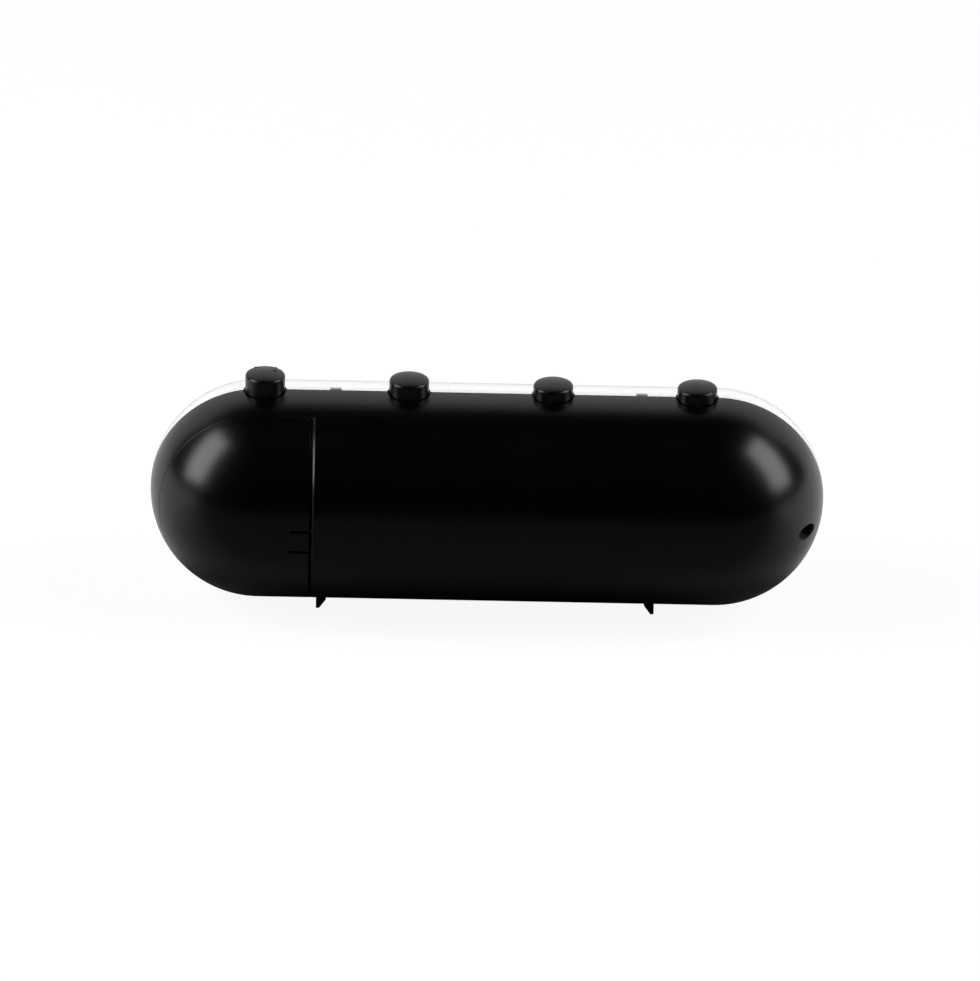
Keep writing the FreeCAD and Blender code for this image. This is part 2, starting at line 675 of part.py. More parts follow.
def button_frame():
    """The bar with a guide collar round each button's flange, board posts and three screw tabs."""
    first = BUTTON_XS[0]
    last = BUTTON_XS[-1]
    pieces = [block((first, -FRAME_BAR_HALF, FLOOR_BOTTOM), (last, FRAME_BAR_HALF, FLOOR_TOP))]
    collar_top = FLANGE_TOP - HOUSING_GAP
    for x in BUTTON_XS:
        pieces.append(rod(COLLAR_OUT, (x, 0, FLOOR_BOTTOM), (x, 0, collar_top)))
    for x in TAB_XS:
        half = TAB_WIDTH / 2
        pieces.append(block((x - half, FACE_BACK_Y, FLOOR_BOTTOM), (x + half, 0, FLOOR_TOP)))
    for x in POST_XS:
        pieces.append(rod(POST_RADIUS, (x, 0, SWITCH_BOARD_TOP), (x, 0, FLOOR_TOP)))
    frame = joined(pieces)
    for x in BUTTON_XS:
        frame = frame.cut(rod(COLLAR_IN, (x, 0, FLOOR_TOP), (x, 0, BODY_RADIUS)))
        frame = frame.cut(rod(STEM_RADIUS + STEM_HOLE_GAP, (x, 0, FLOOR_BOTTOM - 1), (x, 0, FLOOR_TOP + 1)))
    for x in POST_XS:
        depth = SWITCH_BOARD_BOTTOM + SMALL_SCREW_LENGTH + 0.2
        frame = frame.cut(rod(SMALL_PILOT_RADIUS, (x, 0, SWITCH_BOARD_BOTTOM), (x, 0, depth)))
    for x, y, z in shelf_screws():
        frame = frame.cut(rod(SMALL_SCREW_RADIUS + HOLE_GAP, (x, y, z + 1), (x, y, FLOOR_BOTTOM - 1)))
    return frame.removeSplitter()


def shelf_screws():
    """Seats of the screws that hold the frame on the housing's shelves."""
    return [(x, FACE_BACK_Y + TAB_REACH / 2, FLOOR_TOP) for x in TAB_XS]


def switch_board():
    """The narrow board that carries the four switches."""
    low = (BUTTON_XS[0] - SWITCH_BOARD_HALF, -SWITCH_BOARD_HALF, SWITCH_BOARD_BOTTOM)
    high = (BUTTON_XS[-1] + SWITCH_BOARD_HALF, SWITCH_BOARD_HALF, SWITCH_BOARD_TOP)
    board = block(low, high)
    for x in POST_XS:
        hole = rod(SMALL_SCREW_RADIUS + HOLE_GAP, (x, 0, SWITCH_BOARD_BOTTOM - 1), (x, 0, SWITCH_BOARD_TOP + 1))
        board = board.cut(hole)
    return board


def push_switch(x):
    """A small square push switch with a round mouth for its plunger."""
    half = SWITCH_SIDE / 2
    lip = 0.2
    body = block((x - half, -half, SWITCH_BOARD_TOP), (x + half, half, SWITCH_TOP - lip))
    mouth = rod(PLUNGER_RADIUS + 0.6, (x, 0, SWITCH_TOP - lip), (x, 0, SWITCH_TOP))
    floor_z = PLUNGER_TOP - PLUNGER_LENGTH - BUTTON_TRAVEL - 0.2
    well = rod(PLUNGER_RADIUS + PLUNGER_GAP, (x, 0, floor_z), (x, 0, SWITCH_TOP + 1))
    return joined([body, mouth]).cut(well)


def plunger(x):
    """The switch's round plunger, under the button's stem."""
    return rod(PLUNGER_RADIUS, (x, 0, PLUNGER_TOP - PLUNGER_LENGTH), (x, 0, PLUNGER_TOP))


def switch_ribbon():
    """A flat cable from the switch board down to the main board, with one wide bend."""
    low_z = SWITCH_BOARD_BOTTOM - RIBBON_BEND - 2.0
    inner = RIBBON_BEND - RIBBON_THICK
    half = RIBBON_WIDTH / 2
    start = RIBBON_Y - RIBBON_BEND
    down = block((RIBBON_X - half, RIBBON_Y - RIBBON_THICK, low_z), (RIBBON_X + half, RIBBON_Y, SWITCH_BOARD_BOTTOM))
    bend = rod(RIBBON_BEND, (RIBBON_X - half, start, low_z), (RIBBON_X + half, start, low_z))
    bend = bend.cut(rod(inner, (RIBBON_X - half, start, low_z), (RIBBON_X + half, start, low_z)))
    corner = block((RIBBON_X - half, start, low_z - RIBBON_BEND), (RIBBON_X + half, RIBBON_Y, low_z))
    bottom = low_z - RIBBON_BEND
    across = block((RIBBON_X - half, BOARD_BACK_Y, bottom), (RIBBON_X + half, start, bottom + RIBBON_THICK))
    return joined([down, bend.common(corner), across])


# Display


def segment_bars(grow):
    """Outlines of the seven segments about the digit's centre, as lists of (x, z)."""
    width = SEGMENT_WIDTH + 2 * grow
    across = DIGIT_WIDTH - SEGMENT_WIDTH - SEGMENT_GAP + 2 * grow
    upright = (DIGIT_HEIGHT - SEGMENT_WIDTH) / 2 - SEGMENT_GAP + 2 * grow
    rise = (DIGIT_HEIGHT - SEGMENT_WIDTH) / 2
    side = (DIGIT_WIDTH - SEGMENT_WIDTH) / 2
    bars = [hexagon(0, z, across, width, False) for z in (-rise, 0, rise)]
    bars += [hexagon(x, z, upright, width, True) for x in (-side, side) for z in (-rise / 2, rise / 2)]
    return bars


def hexagon(x, z, length, width, upright):
    """A bar with pointed ends, centred on (x, z)."""
    tip = length / 2
    shoulder = (length - width) / 2
    half = width / 2
    along = [(-tip, 0), (-shoulder, half), (shoulder, half), (tip, 0), (shoulder, -half), (-shoulder, -half)]
    if upright:
        return [(x + b, z + a) for a, b in along]
    return [(x + a, z + b) for a, b in along]


def digit_xs():
    """Centres of the four digits, from left to right seen from the front."""
    inner = COLON_GAP / 2
    return [-inner - DIGIT_PITCH, -inner, inner, inner + DIGIT_PITCH]


def face_cuts():
    """Openings in the housing's flat face for the segments and the two dots."""
    cuts = []
    for centre in digit_xs():
        for bar in segment_bars(FIT_GAP):
            outline = [(centre + x, -HOUSING_DEPTH - 1, z) for x, z in bar]
            cuts.append(prism(outline, (0, HOUSING_WALL + 2, 0)))
    for z in (-COLON_DOT_RISE, COLON_DOT_RISE):
        cuts.append(rod(COLON_DOT_RADIUS + FIT_GAP, (0, -HOUSING_DEPTH - 1, z), (0, FACE_BACK_Y + 1, z)))
    return cuts


def standoff_places():
    """Centres of the main board's four standoffs, as (x, z)."""
    x = MAIN_BOARD_LENGTH / 2 - STANDOFF_INSET
    z = MAIN_BOARD_HEIGHT / 2 - STANDOFF_INSET
    return [(-x, -z), (-x, z), (x, -z), (x, z)]


def display_housing():
    """The black carrier: a half capsule with a flat face, segment openings, tubes, shelves and standoffs."""
    outer = capsule(HOUSING_OUT).common(slab(-HOUSING_DEPTH, 0))
    inner = capsule(HOUSING_IN).common(slab(FACE_BACK_Y, REACH))
    pieces = [outer.cut(inner)]
    for x, z in CASE_SCREWS:
        pieces.append(rod(CASE_POST_RADIUS, (x, -HOUSING_DEPTH, z), (x, 0, z)))
    for x, z in standoff_places():
        pieces.append(rod(STANDOFF_RADIUS, (x, -HOUSING_DEPTH, z), (x, LED_BACK_Y, z)))
    for x in TAB_XS:
        half = TAB_WIDTH / 2
        low = (x - half, -HOUSING_DEPTH + HOUSING_WALL / 2, FLOOR_BOTTOM - SHELF_HEIGHT)
        pieces.append(block(low, (x + half, FACE_BACK_Y + TAB_REACH, FLOOR_BOTTOM)))
    housing = joined(pieces)
    cuts = face_cuts() + button_holes(BUTTON_HOLE_RADIUS)
    for x, z in CASE_SCREWS:
        cuts.append(rod(LONG_SCREW_RADIUS + HOLE_GAP, (x, -HOUSING_DEPTH - 1, z), (x, 1, z)))
        sunk = -HOUSING_DEPTH + LONG_HEAD_HEIGHT + FIT_GAP
        cuts.append(rod(LONG_HEAD_RADIUS + 0.2, (x, -HOUSING_DEPTH - 1, z), (x, sunk, z)))
    for x, z in standoff_places():
        tip = BOARD_BACK_Y - SMALL_SCREW_LENGTH - 0.1
        cuts.append(rod(SMALL_PILOT_RADIUS, (x, LED_BACK_Y + 1, z), (x, tip, z)))
    for x, y, z in shelf_screws():
        cuts.append(rod(SMALL_PILOT_RADIUS, (x, y, z), (x, y, z - SMALL_SCREW_LENGTH - 0.1)))
    for cut in cuts:
        housing = housing.cut(cut)
    return housing.removeSplitter()


def display_window():
    """The smoked plate over the flat face."""
    return stadium(FACE_RADIUS - WINDOW_MARGIN, -HOUSING_DEPTH - WINDOW_THICK, -HOUSING_DEPTH)


def digit_guide(centre):
    """One digit's light guide: a back plate with seven raised segments."""
    half_x = DIGIT_WIDTH / 2 + GUIDE_MARGIN
    half_z = DIGIT_HEIGHT / 2 + GUIDE_MARGIN / 2
    plate = block((centre - half_x, FACE_BACK_Y, -half_z), (centre + half_x, GUIDE_BACK_Y, half_z))
    bars = []
    for bar in segment_bars(0):
        outline = [(centre + x, -HOUSING_DEPTH, z) for x, z in bar]
        bars.append(prism(outline, (0, HOUSING_WALL + GUIDE_PLATE / 2, 0)))
    return joined([plate] + bars)


def colon_guide():
    """The light guide of the two dots between hours and minutes."""
    half_x = COLON_DOT_RADIUS + GUIDE_MARGIN
    half_z = COLON_DOT_RISE + COLON_DOT_RADIUS + GUIDE_MARGIN
    plate = block((-half_x, FACE_BACK_Y, -half_z), (half_x, GUIDE_BACK_Y, half_z))
    dots = [
        rod(COLON_DOT_RADIUS, (0, -HOUSING_DEPTH, z), (0, FACE_BACK_Y + GUIDE_PLATE / 2, z))
        for z in (-COLON_DOT_RISE, COLON_DOT_RISE)
    ]
    return joined([plate] + dots)


def segment_leds():
    """One lamp chip behind each segment and dot."""
    places = []
    for centre in digit_xs():
        for bar in segment_bars(0):
            x = sum(p[0] for p in bar) / len(bar)
            z = sum(p[1] for p in bar) / len(bar)
            places.append((centre + x, z))
    places += [(0, -COLON_DOT_RISE), (0, COLON_DOT_RISE)]
    half_x = LED_LENGTH / 2
    half_z = LED_WIDTH / 2
    chips = [
        block((x - half_x, GUIDE_BACK_Y, z - half_z), (x + half_x, LED_BACK_Y, z + half_z))
        for x, z in places
    ]
    return Part.makeCompound(chips)


def main_board():
    """The board behind the digits."""
    half_x = MAIN_BOARD_LENGTH / 2
    half_z = MAIN_BOARD_HEIGHT / 2
    board = block((-half_x, LED_BACK_Y, -half_z), (half_x, BOARD_BACK_Y, half_z))
    for x, z in standoff_places():
        board = board.cut(rod(SMALL_SCREW_RADIUS + HOLE_GAP, (x, LED_BACK_Y - 1, z), (x, BOARD_BACK_Y + 1, z)))
    return board


def board_block(x, z, length, height, width):
    """A chamfered block that stands on the main board's back."""
    low = (x - length / 2, BOARD_BACK_Y, z - width / 2)
    high = (x + length / 2, BOARD_BACK_Y + height, z + width / 2)
    shape = block(low, high)
    corners = [edge for edge in shape.Edges if edge.BoundBox.YLength > height / 2]
    return shape.makeChamfer(0.4, corners)


def board_can(x, z, radius, height):
    """A round can that stands on the main board's back."""
    return rod(radius, (x, BOARD_BACK_Y, z), (x, BOARD_BACK_Y + height, z))


def buzzer():
    """A round buzzer with its sound hole."""
    can = board_can(BUZZER_X, BUZZER_Z, BUZZER_RADIUS, BUZZER_HEIGHT)
    top = BOARD_BACK_Y + BUZZER_HEIGHT
    hole = rod(BUZZER_HOLE_RADIUS, (BUZZER_X, top - BUZZER_HOLE_DEPTH, BUZZER_Z), (BUZZER_X, top + 1, BUZZER_Z))
    return can.cut(hole)


# Battery cells and contacts


def cell_side(index):
    """1 for a cell with its nub up, -1 for one with its nub down."""
    return 1 if index % 2 == 0 else -1


def battery_cell(index):
    """A standing cell with its nub at one end."""
    x = CELL_XS[index]
    side = cell_side(index)
    low = -CELL_LENGTH / 2
    high = CELL_LENGTH / 2 - CELL_NUB_HEIGHT
    can = rod(CELL_RADIUS, (x, CELL_Y, low), (x, CELL_Y, high))
    nub = rod(CELL_NUB_RADIUS, (x, CELL_Y, high), (x, CELL_Y, high + CELL_NUB_HEIGHT))
    cell = joined([can, nub])
    cell.translate(Vec(0, 0, CELL_SHIFT))
    if side < 0:
        cell = cell.mirror(Vec(0, 0, 0), Z_AXIS)
    return cell


def plate_contact(index):
    """A flat contact between a cell's nub and the stop behind it."""
    x = CELL_XS[index]
    half = CONTACT_WIDTH / 2
    low = (x - half, BAY_BACK_Y + 0.2, STOP_Z - CONTACT_THICK)
    plate = block(low, (x + half, CELL_Y + half, STOP_Z)).common(capsule(INNER_RADIUS - 0.3))
    if cell_side(index) < 0:
        plate = plate.mirror(Vec(0, 0, 0), Z_AXIS)
    return plate


def spring_contact(index):
    """A leaf spring: a foot on the stop, a round bend and a sloped leaf that presses on the cell."""
    x = CELL_XS[index]
    half = CONTACT_WIDTH / 2
    base_z = STOP_BOTTOM_Z
    leaf_z = -CELL_LENGTH / 2 + CELL_SHIFT
    bend = SPRING_ROOM * 0.3
    start_y = BAY_BACK_Y + 0.6
    end_y = CELL_Y + 3.0
    foot_part = block((x - half, start_y, base_z), (x + half, end_y, base_z + CONTACT_THICK))
    centre = (x - half, end_y, base_z + bend)
    far = (x + half, end_y, base_z + bend)
    ring = rod(bend, centre, far).cut(rod(bend - CONTACT_THICK, centre, far))
    ring = ring.common(block((x - half, end_y, base_z - 1), (x + half, end_y + bend, leaf_z)))
    top = base_z + 2 * bend
    leaf_outline = [
        (x - half, end_y, top),
        (x - half, CELL_Y - 1.5, leaf_z),
        (x - half, CELL_Y - 2.7, leaf_z),
        (x - half, CELL_Y - 2.7, leaf_z - CONTACT_THICK),
        (x - half, CELL_Y - 1.5, leaf_z - CONTACT_THICK),
        (x - half, end_y, top - CONTACT_THICK),
    ]
    leaf = prism(leaf_outline, (CONTACT_WIDTH, 0, 0))
    spring = joined([foot_part, ring, leaf]).common(capsule(INNER_RADIUS - 0.3))
    if cell_side(index) < 0:
        spring = spring.mirror(Vec(0, 0, 0), Z_AXIS)
    return spring


# Power socket


def power_socket():
    """A round socket whose barrel stands in the shell's hole and whose flange seats on the boss."""
    barrel = rod(SOCKET_HOLE_RADIUS - FIT_GAP, (SOCKET_X, SOCKET_TAIL_Y, SOCKET_Z), (SOCKET_X, SOCKET_MOUTH_Y, SOCKET_Z))
    low = SOCKET_BOSS_Y - SOCKET_FLANGE_THICK
    flange = rod(SOCKET_FLANGE_RADIUS, (SOCKET_X, low, SOCKET_Z), (SOCKET_X, SOCKET_BOSS_Y, SOCKET_Z))
    body = joined([barrel, flange.common(capsule(INNER_RADIUS - 0.2))])
    bore_end = SOCKET_MOUTH_Y - SOCKET_BORE_LENGTH
    bore = rod(SOCKET_BORE_RADIUS, (SOCKET_X, bore_end, SOCKET_Z), (SOCKET_X, SOCKET_MOUTH_Y + 1, SOCKET_Z))
    floor_y = SOCKET_TAIL_Y + SOCKET_FLOOR
    chamber = rod(SOCKET_CHAMBER_RADIUS, (SOCKET_X, floor_y, SOCKET_Z), (SOCKET_X, bore_end, SOCKET_Z))
    pin_hole = rod(PIN_RADIUS + 0.05, (SOCKET_X, SOCKET_TAIL_Y - 1, SOCKET_Z), (SOCKET_X, floor_y + 1, SOCKET_Z))
    return body.cut(bore).cut(chamber).cut(pin_hole).removeSplitter()


def socket_pin():
    """The centre pin, held in the socket's floor."""
    return rod(PIN_RADIUS, (SOCKET_X, SOCKET_TAIL_Y, SOCKET_Z), (SOCKET_X, SOCKET_TAIL_Y + PIN_LENGTH, SOCKET_Z))


# Screws


def board_screws():
    """Ten like screws: main board, switch board and button frame."""
    seats = [((x, BOARD_BACK_Y, z), (0, -1, 0)) for x, z in standoff_places()]
    seats += [((x, 0, SWITCH_BOARD_BOTTOM), (0, 0, 1)) for x in POST_XS]
    seats += [(place, (0, 0, -1)) for place in shelf_screws()]
    shapes = [
        screw(SMALL_HEAD_RADIUS, SMALL_HEAD_HEIGHT, SMALL_SCREW_RADIUS, SMALL_SCREW_LENGTH, seat, along)
        for seat, along in seats
    ]
    return Part.makeCompound(shapes)


def case_screws():
    """Four long screws from the housing's face into the rear shell's posts."""
    seat_y = -HOUSING_DEPTH + LONG_HEAD_HEIGHT + FIT_GAP
    shapes = [
        screw(LONG_HEAD_RADIUS, LONG_HEAD_HEIGHT, LONG_SCREW_RADIUS, LONG_SCREW_LENGTH, (x, seat_y, z), (0, 1, 0))
        for x, z in CASE_SCREWS
    ]
    return Part.makeCompound(shapes)


def build():
    """Make every piece and save each one under its name."""
    os.makedirs("parts", exist_ok=True)
    save("rear_shell", rear_shell())
    save("front_lens", front_lens())
    save("battery_door", battery_door())
    save("battery_tray", battery_tray())
    save("left_foot", foot(-1))
    save("right_foot", foot(1))
    save("display_housing", display_housing())
    save("display_window", display_window())
    digit_names = ["hours_tens_digit", "hours_units_digit", "minutes_tens_digit", "minutes_units_digit"]
    for name, x in zip(digit_names, digit_xs()):
        save(name, digit_guide(x))
    save("colon_guide", colon_guide())
    save("segment_leds", segment_leds())
    save("main_board", main_board())
    save("control_chip", board_block(CHIP_X, CHIP_Z, CHIP_LENGTH, CHIP_HEIGHT, CHIP_WIDTH))
    save("quartz_crystal", board_block(CRYSTAL_X, CRYSTAL_Z, CRYSTAL_LENGTH, CRYSTAL_HEIGHT, CRYSTAL_WIDTH))
    save("filter_capacitor", board_can(CAPACITOR_X, CAPACITOR_Z, CAPACITOR_RADIUS, CAPACITOR_HEIGHT))
    save("buzzer", buzzer())
    save("button_frame", button_frame())
    save("switch_board", switch_board())
    save("switch_ribbon", switch_ribbon())
    for number, x in enumerate(BUTTON_XS, 1):
        save("top_button_%d" % number, push_button(x, BUTTON_RISES[number - 1]))
        save("switch_%d" % number, push_switch(x))
        save("plunger_%d" % number, plunger(x))
    for index in range(CELL_COUNT):
        save("battery_cell_%d" % (index + 1), battery_cell(index))
        save("plate_contact_%d" % (index + 1), plate_contact(index))
        save("spring_contact_%d" % (index + 1), spring_contact(index))
    save("power_socket", power_socket())
    save("socket_pin", socket_pin())
    save("board_screws", board_screws())
    save("case_screws", case_screws())


build()
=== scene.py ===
import math

import bmesh
import bpy
from bpy.props import FloatProperty, FloatVectorProperty, IntProperty, PointerProperty, StringProperty
from mathutils import Matrix, Quaternion, Vector


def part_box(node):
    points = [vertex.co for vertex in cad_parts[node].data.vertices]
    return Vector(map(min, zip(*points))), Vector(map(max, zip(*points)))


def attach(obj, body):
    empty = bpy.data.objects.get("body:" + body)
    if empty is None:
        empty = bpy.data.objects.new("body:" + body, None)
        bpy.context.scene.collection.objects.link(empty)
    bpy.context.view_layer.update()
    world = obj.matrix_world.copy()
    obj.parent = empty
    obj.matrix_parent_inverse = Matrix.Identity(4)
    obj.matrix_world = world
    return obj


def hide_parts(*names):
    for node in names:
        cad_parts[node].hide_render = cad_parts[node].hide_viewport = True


bl_info = {
    "name": "Capsule alarm clock",
    "version": (1, 0, 0),
    "blender": (4, 5, 0),
    "location": "3D View > Sidebar > Clock",
    "description": "Dresses the capsule clock's frame with smooth case halves, buttons, display and finishes",
    "category": "Object",
}

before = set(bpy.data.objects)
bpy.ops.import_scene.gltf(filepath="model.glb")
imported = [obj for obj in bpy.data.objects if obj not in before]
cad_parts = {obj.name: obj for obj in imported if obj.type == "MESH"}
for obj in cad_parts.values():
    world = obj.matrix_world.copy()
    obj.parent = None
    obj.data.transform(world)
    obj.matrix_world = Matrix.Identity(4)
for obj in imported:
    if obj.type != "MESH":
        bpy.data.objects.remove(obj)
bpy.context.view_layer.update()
CASE_LOW, CASE_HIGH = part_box("rear_shell")
AXIS_Z = (CASE_LOW.z + CASE_HIGH.z) / 2
CASE_RADIUS = (CASE_HIGH.z - CASE_LOW.z) / 2
CASE_HALF = CASE_HIGH.x - CASE_RADIUS
BUTTON_NODES = ["top_button_1", "top_button_2", "top_button_3", "top_button_4"]
DIGIT_NODES = ["hours_tens_digit", "hours_units_digit", "minutes_tens_digit", "minutes_units_digit"]
FINISHES = {}
TOUCH = 1e-6  # vertices nearer to each other than this are one
ON_WALL = 1.5e-5  # a vertex this near to a wall's radius lies on the wall
FAR = 0.05  # how far from the case's axis its cutters reach
ROUND_STEPS = 96  # sides of rods and buttons


def length(name, description, default):
    """A size that the user may change."""
    return FloatProperty(name=name, description=description, default=default, unit="LENGTH", precision=5)


def colour(name, description, default):
    """A colour that the user may change."""
    return FloatVectorProperty(
        name=name, description=description, default=default, subtype="COLOR", size=3, min=0.0, max=1.0
    )


class ClockCaseSizes(bpy.types.PropertyGroup):
    """Sizes of the two case halves and the battery door."""

    radius: length("Radius", "Outer radius of the capsule", CASE_RADIUS)
    half_straight: length("Half straight", "Half of the straight part between the domes", CASE_HALF)
    wall: length("Wall", "Thickness of the moulded wall", 0.002)
    edge: length("Edge", "Rounding of the moulded edges", 0.00009)
    tongue_out: length("Tongue outside", "Outer radius of the lens tongue", 0.0304)
    tongue_in: length("Tongue inside", "Inner radius of the lens tongue", 0.0293)
    tongue_reach: length("Tongue reach", "How far the tongue reaches past the parting line", 0.002)
    door_x: length("Door edge along", "Where the battery opening starts along the case", 0.0526)
    door_y: length("Door edge across", "Where the battery opening starts behind the parting line", 0.0128)
    door_corner: length("Door corner", "Radius of the battery opening's corner", 0.003)
    door_gap: length("Door gap", "Gap at the battery door's end", 0.00025)
    door_side_gap: length("Door side gap", "Gap along the battery door's long edges", 0.00012)
    groove_width: length("Groove width", "Width of the sloped lip at the door's seam", 0.0012)
    groove_depth: length("Groove depth", "Depth of the sloped lip at the door's seam", 0.0008)
    slot_high: length("Upper slot", "Height of the snap tongue's upper slot over the axis", 0.00085)
    slot_low: length("Lower slot", "Height of the snap tongue's lower slot over the axis", -0.006)
    slot_width: length("Slot width", "Width of the two slots beside the snap tongue", 0.0008)
    slot_length: length("Slot length", "Length of the two slots beside the snap tongue", 0.0058)
    socket_x: length("Socket along", "Where the power socket's hole is along the case", -0.0956)
    socket_z: length("Socket height", "Height of the power socket's hole over the axis", -0.0032)
    socket_hole: length("Socket hole", "Radius of the power socket's hole", 0.0023)
    foot_x: length("Foot along", "Distance of the feet from the middle", 0.049)
    foot_slot: length("Foot slot", "Half width of the slots for the feet", 0.00165)
    foot_length: length("Foot length", "Half length of the slots for the feet", 0.01015)
    button_hole: length("Button hole", "Radius of the holes for the buttons", 0.00645)
    arrow_shift: length("Arrow place", "Distance of the arrowhead's middle past the slots", 0.0022)
    arrow_length: length("Arrow half length", "Half the length of the arrowhead", 0.0011)
    arrow_width: length("Arrow half width", "Half the width of the arrowhead", 0.0014)
    arrow_thick: length("Arrow thickness", "Thickness of the arrowhead, a third of it sunk", 0.00012)
    around: IntProperty(name="Steps around", description="Steps in a full turn of the case", default=128, min=24)
    dome: IntProperty(name="Dome steps", description="Steps from a dome's tip to the straight part", default=32, min=8)


class ClockButtonSizes(bpy.types.PropertyGroup):
    """Sizes of the push buttons."""

    radius: length("Radius", "Radius of a button's cap", 0.0062)
    dome: length("Crown", "Height of the shallow crown", 0.00075)
    rim: length("Rim", "Rounding of the cap's rim", 0.0009)
    skin: length("Skin", "Thickness of the cap", 0.0013)
    flange_thick: length("Flange", "Thickness of the retaining flange", 0.0012)
    flange_z: length("Flange height", "Height of the flange's underside over the case's axis", 0.02502)
    flange_lip: length("Flange lip", "How far the flange stands out of the cap", 0.0006)
    stem: length("Stem", "Radius of the centre stem", 0.0019)
    bar_length: length("Bar length", "Length of the three raised bars on the end button", 0.0029)
    bar_width: length("Bar width", "Width of a raised bar", 0.0007)
    bar_side: length("Bar offset", "Distance of the bars' middles to the side of the cap's middle", 0.0019)
    bar_front: length("Front bar", "Distance of the single bar in front of the cap's middle", 0.0012)
    bar_back: length("Back bars", "Distance of the two bars in front of the cap's middle", 0.0038)
    bar_height: length("Bar height", "Height of the raised bars", 0.00022)


class ClockDisplaySizes(bpy.types.PropertyGroup):
    """Sizes and reading of the display."""

    window_radius: length("Window radius", "End radius of the smoked window", 0.02590)
    window_back: length("Window back", "Where the back of the window is", -0.012)
    window_thick: length("Window thickness", "Thickness of the smoked window", 0.001)
    window_edge: length("Window edge", "Rounding of the window's front edge", 0.0003)
    digit_height: length("Digit height", "Height of a digit", 0.033)
    digit_width: length("Digit width", "Width of a digit", 0.018)
    segment_width: length("Segment width", "Width of a segment", 0.0036)
    segment_depth: length("Segment depth", "How deep the glow reaches into a light guide", 0.00158)
    reading: StringProperty(name="Reading", description="The four digits that are lit", default="1008")


class ClockFinishes(bpy.types.PropertyGroup):
    """Colours of the finishes."""

    case: colour("Case", "Satin black plastic of the case, door, buttons and feet", (0.0010, 0.0009, 0.0010))
    inner: colour("Inside", "Matt black plastic inside the case", (0.012, 0.012, 0.013))
    lit: colour("Lit segment", "Colour of a lit segment", (0.80, 0.92, 1.0))
    guide: colour("Unlit segment", "Milky plastic of an unlit segment", (0.30, 0.31, 0.31))
    board: colour("Board", "Solder mask of the circuit boards", (0.012, 0.10, 0.035))
    floor: colour("Floor", "Pale floor and backdrop", (0.19, 0.19, 0.19))


# Meshes


def piece_from(name, bm):
    """A linked object that takes over a finished bmesh."""
    mesh = bpy.data.meshes.new(name)
    bm.to_mesh(mesh)
    bm.free()
    piece = bpy.data.objects.new(name, mesh)
    bpy.context.scene.collection.objects.link(piece)
    return piece


def verts_of(geom):
    """The vertices among an operator's results."""
    return [v for v in geom if isinstance(v, bmesh.types.BMVert)]


def draw_arc(bm, start, centre, sweep, steps, axis=(0, 1, 0)):
    """Continues a profile from a vertex by an arc and returns the arc's end."""
    arc = bmesh.ops.spin(bm, geom=[start], cent=centre, axis=axis, angle=sweep, steps=steps, use_merge=False)
    return verts_of(arc["geom_last"])[0]


def draw_line(bm, start, reach, steps=1):
    """Continues a profile from a vertex by a straight line and returns the line's end."""
    for _ in range(steps):
        start = bmesh.ops.extrude_vert_indiv(bm, verts=[start])["verts"][0]
        bmesh.ops.translate(bm, vec=Vector(reach) / steps, verts=[start])
    return start


def draw_capsule(bm, sizes, radius):
    """Draws half the outline of a capsule in the XZ plane and returns its two tips."""
    half = sizes.half_straight
    tip = bm.verts.new((-half - radius, 0, 0))
    corner = draw_arc(bm, tip, (-half, 0, 0), math.pi / 2, sizes.dome)
    corner = draw_line(bm, corner, (2 * half, 0, 0), 16)
    return tip, draw_arc(bm, corner, (half, 0, 0), math.pi / 2, sizes.dome)


def close_up(bm):
    """Joins the vertices that touch and turns all faces outward."""
    bmesh.ops.remove_doubles(bm, verts=bm.verts, dist=TOUCH)
    bmesh.ops.recalc_face_normals(bm, faces=bm.faces)


def turn_round(bm, axis, steps):
    """Spins a profile by a full turn about an axis through the origin."""
    geom = bm.verts[:] + bm.edges[:]
    bmesh.ops.spin(bm, geom=geom, cent=(0, 0, 0), axis=axis, angle=2 * math.pi, steps=steps, use_merge=True)


def capsule(sizes, radius):
    """A closed capsule about the X axis."""
    bm = bmesh.new()
    draw_capsule(bm, sizes, radius)
    turn_round(bm, (1, 0, 0), sizes.around)
    close_up(bm)
    return bm


def half_shell(sizes, side):
    """A closed half of the capsule's wall. side is 1 for the back half and -1 for the front half."""
    bm = bmesh.new()
    left_out, right_out = draw_capsule(bm, sizes, sizes.radius)
    left_in, right_in = draw_capsule(bm, sizes, sizes.radius - sizes.wall)
    bm.edges.new((left_out, left_in))
    bm.edges.new((right_out, right_in))
    section = bmesh.ops.contextual_create(bm, geom=bm.edges[:])["faces"]
    geom = bm.verts[:] + bm.edges[:] + section
    steps = sizes.around // 2
    bmesh.ops.spin(bm, geom=geom, cent=(0, 0, 0), axis=(1, 0, 0), angle=-side * math.pi, steps=steps)
    close_up(bm)
    return bm


def add_rod(bm, radius, start, end):
    """Adds a closed round bar between two points."""
    along = Vector(end) - Vector(start)
    turn = along.to_track_quat("Z", "Y").to_matrix().to_4x4()
    place = Matrix.Translation((Vector(start) + Vector(end)) / 2) @ turn
    bmesh.ops.create_cone(
        bm, cap_ends=True, segments=ROUND_STEPS, radius1=radius, radius2=radius, depth=along.length, matrix=place
    )


def add_block(bm, low, high):
    """Adds a closed box between two corners."""
    size = Vector(high) - Vector(low)
    middle = (Vector(high) + Vector(low)) / 2
    place = Matrix.Translation(middle) @ Matrix.Diagonal((*size, 1))
    bmesh.ops.create_cube(bm, size=1.0, matrix=place)


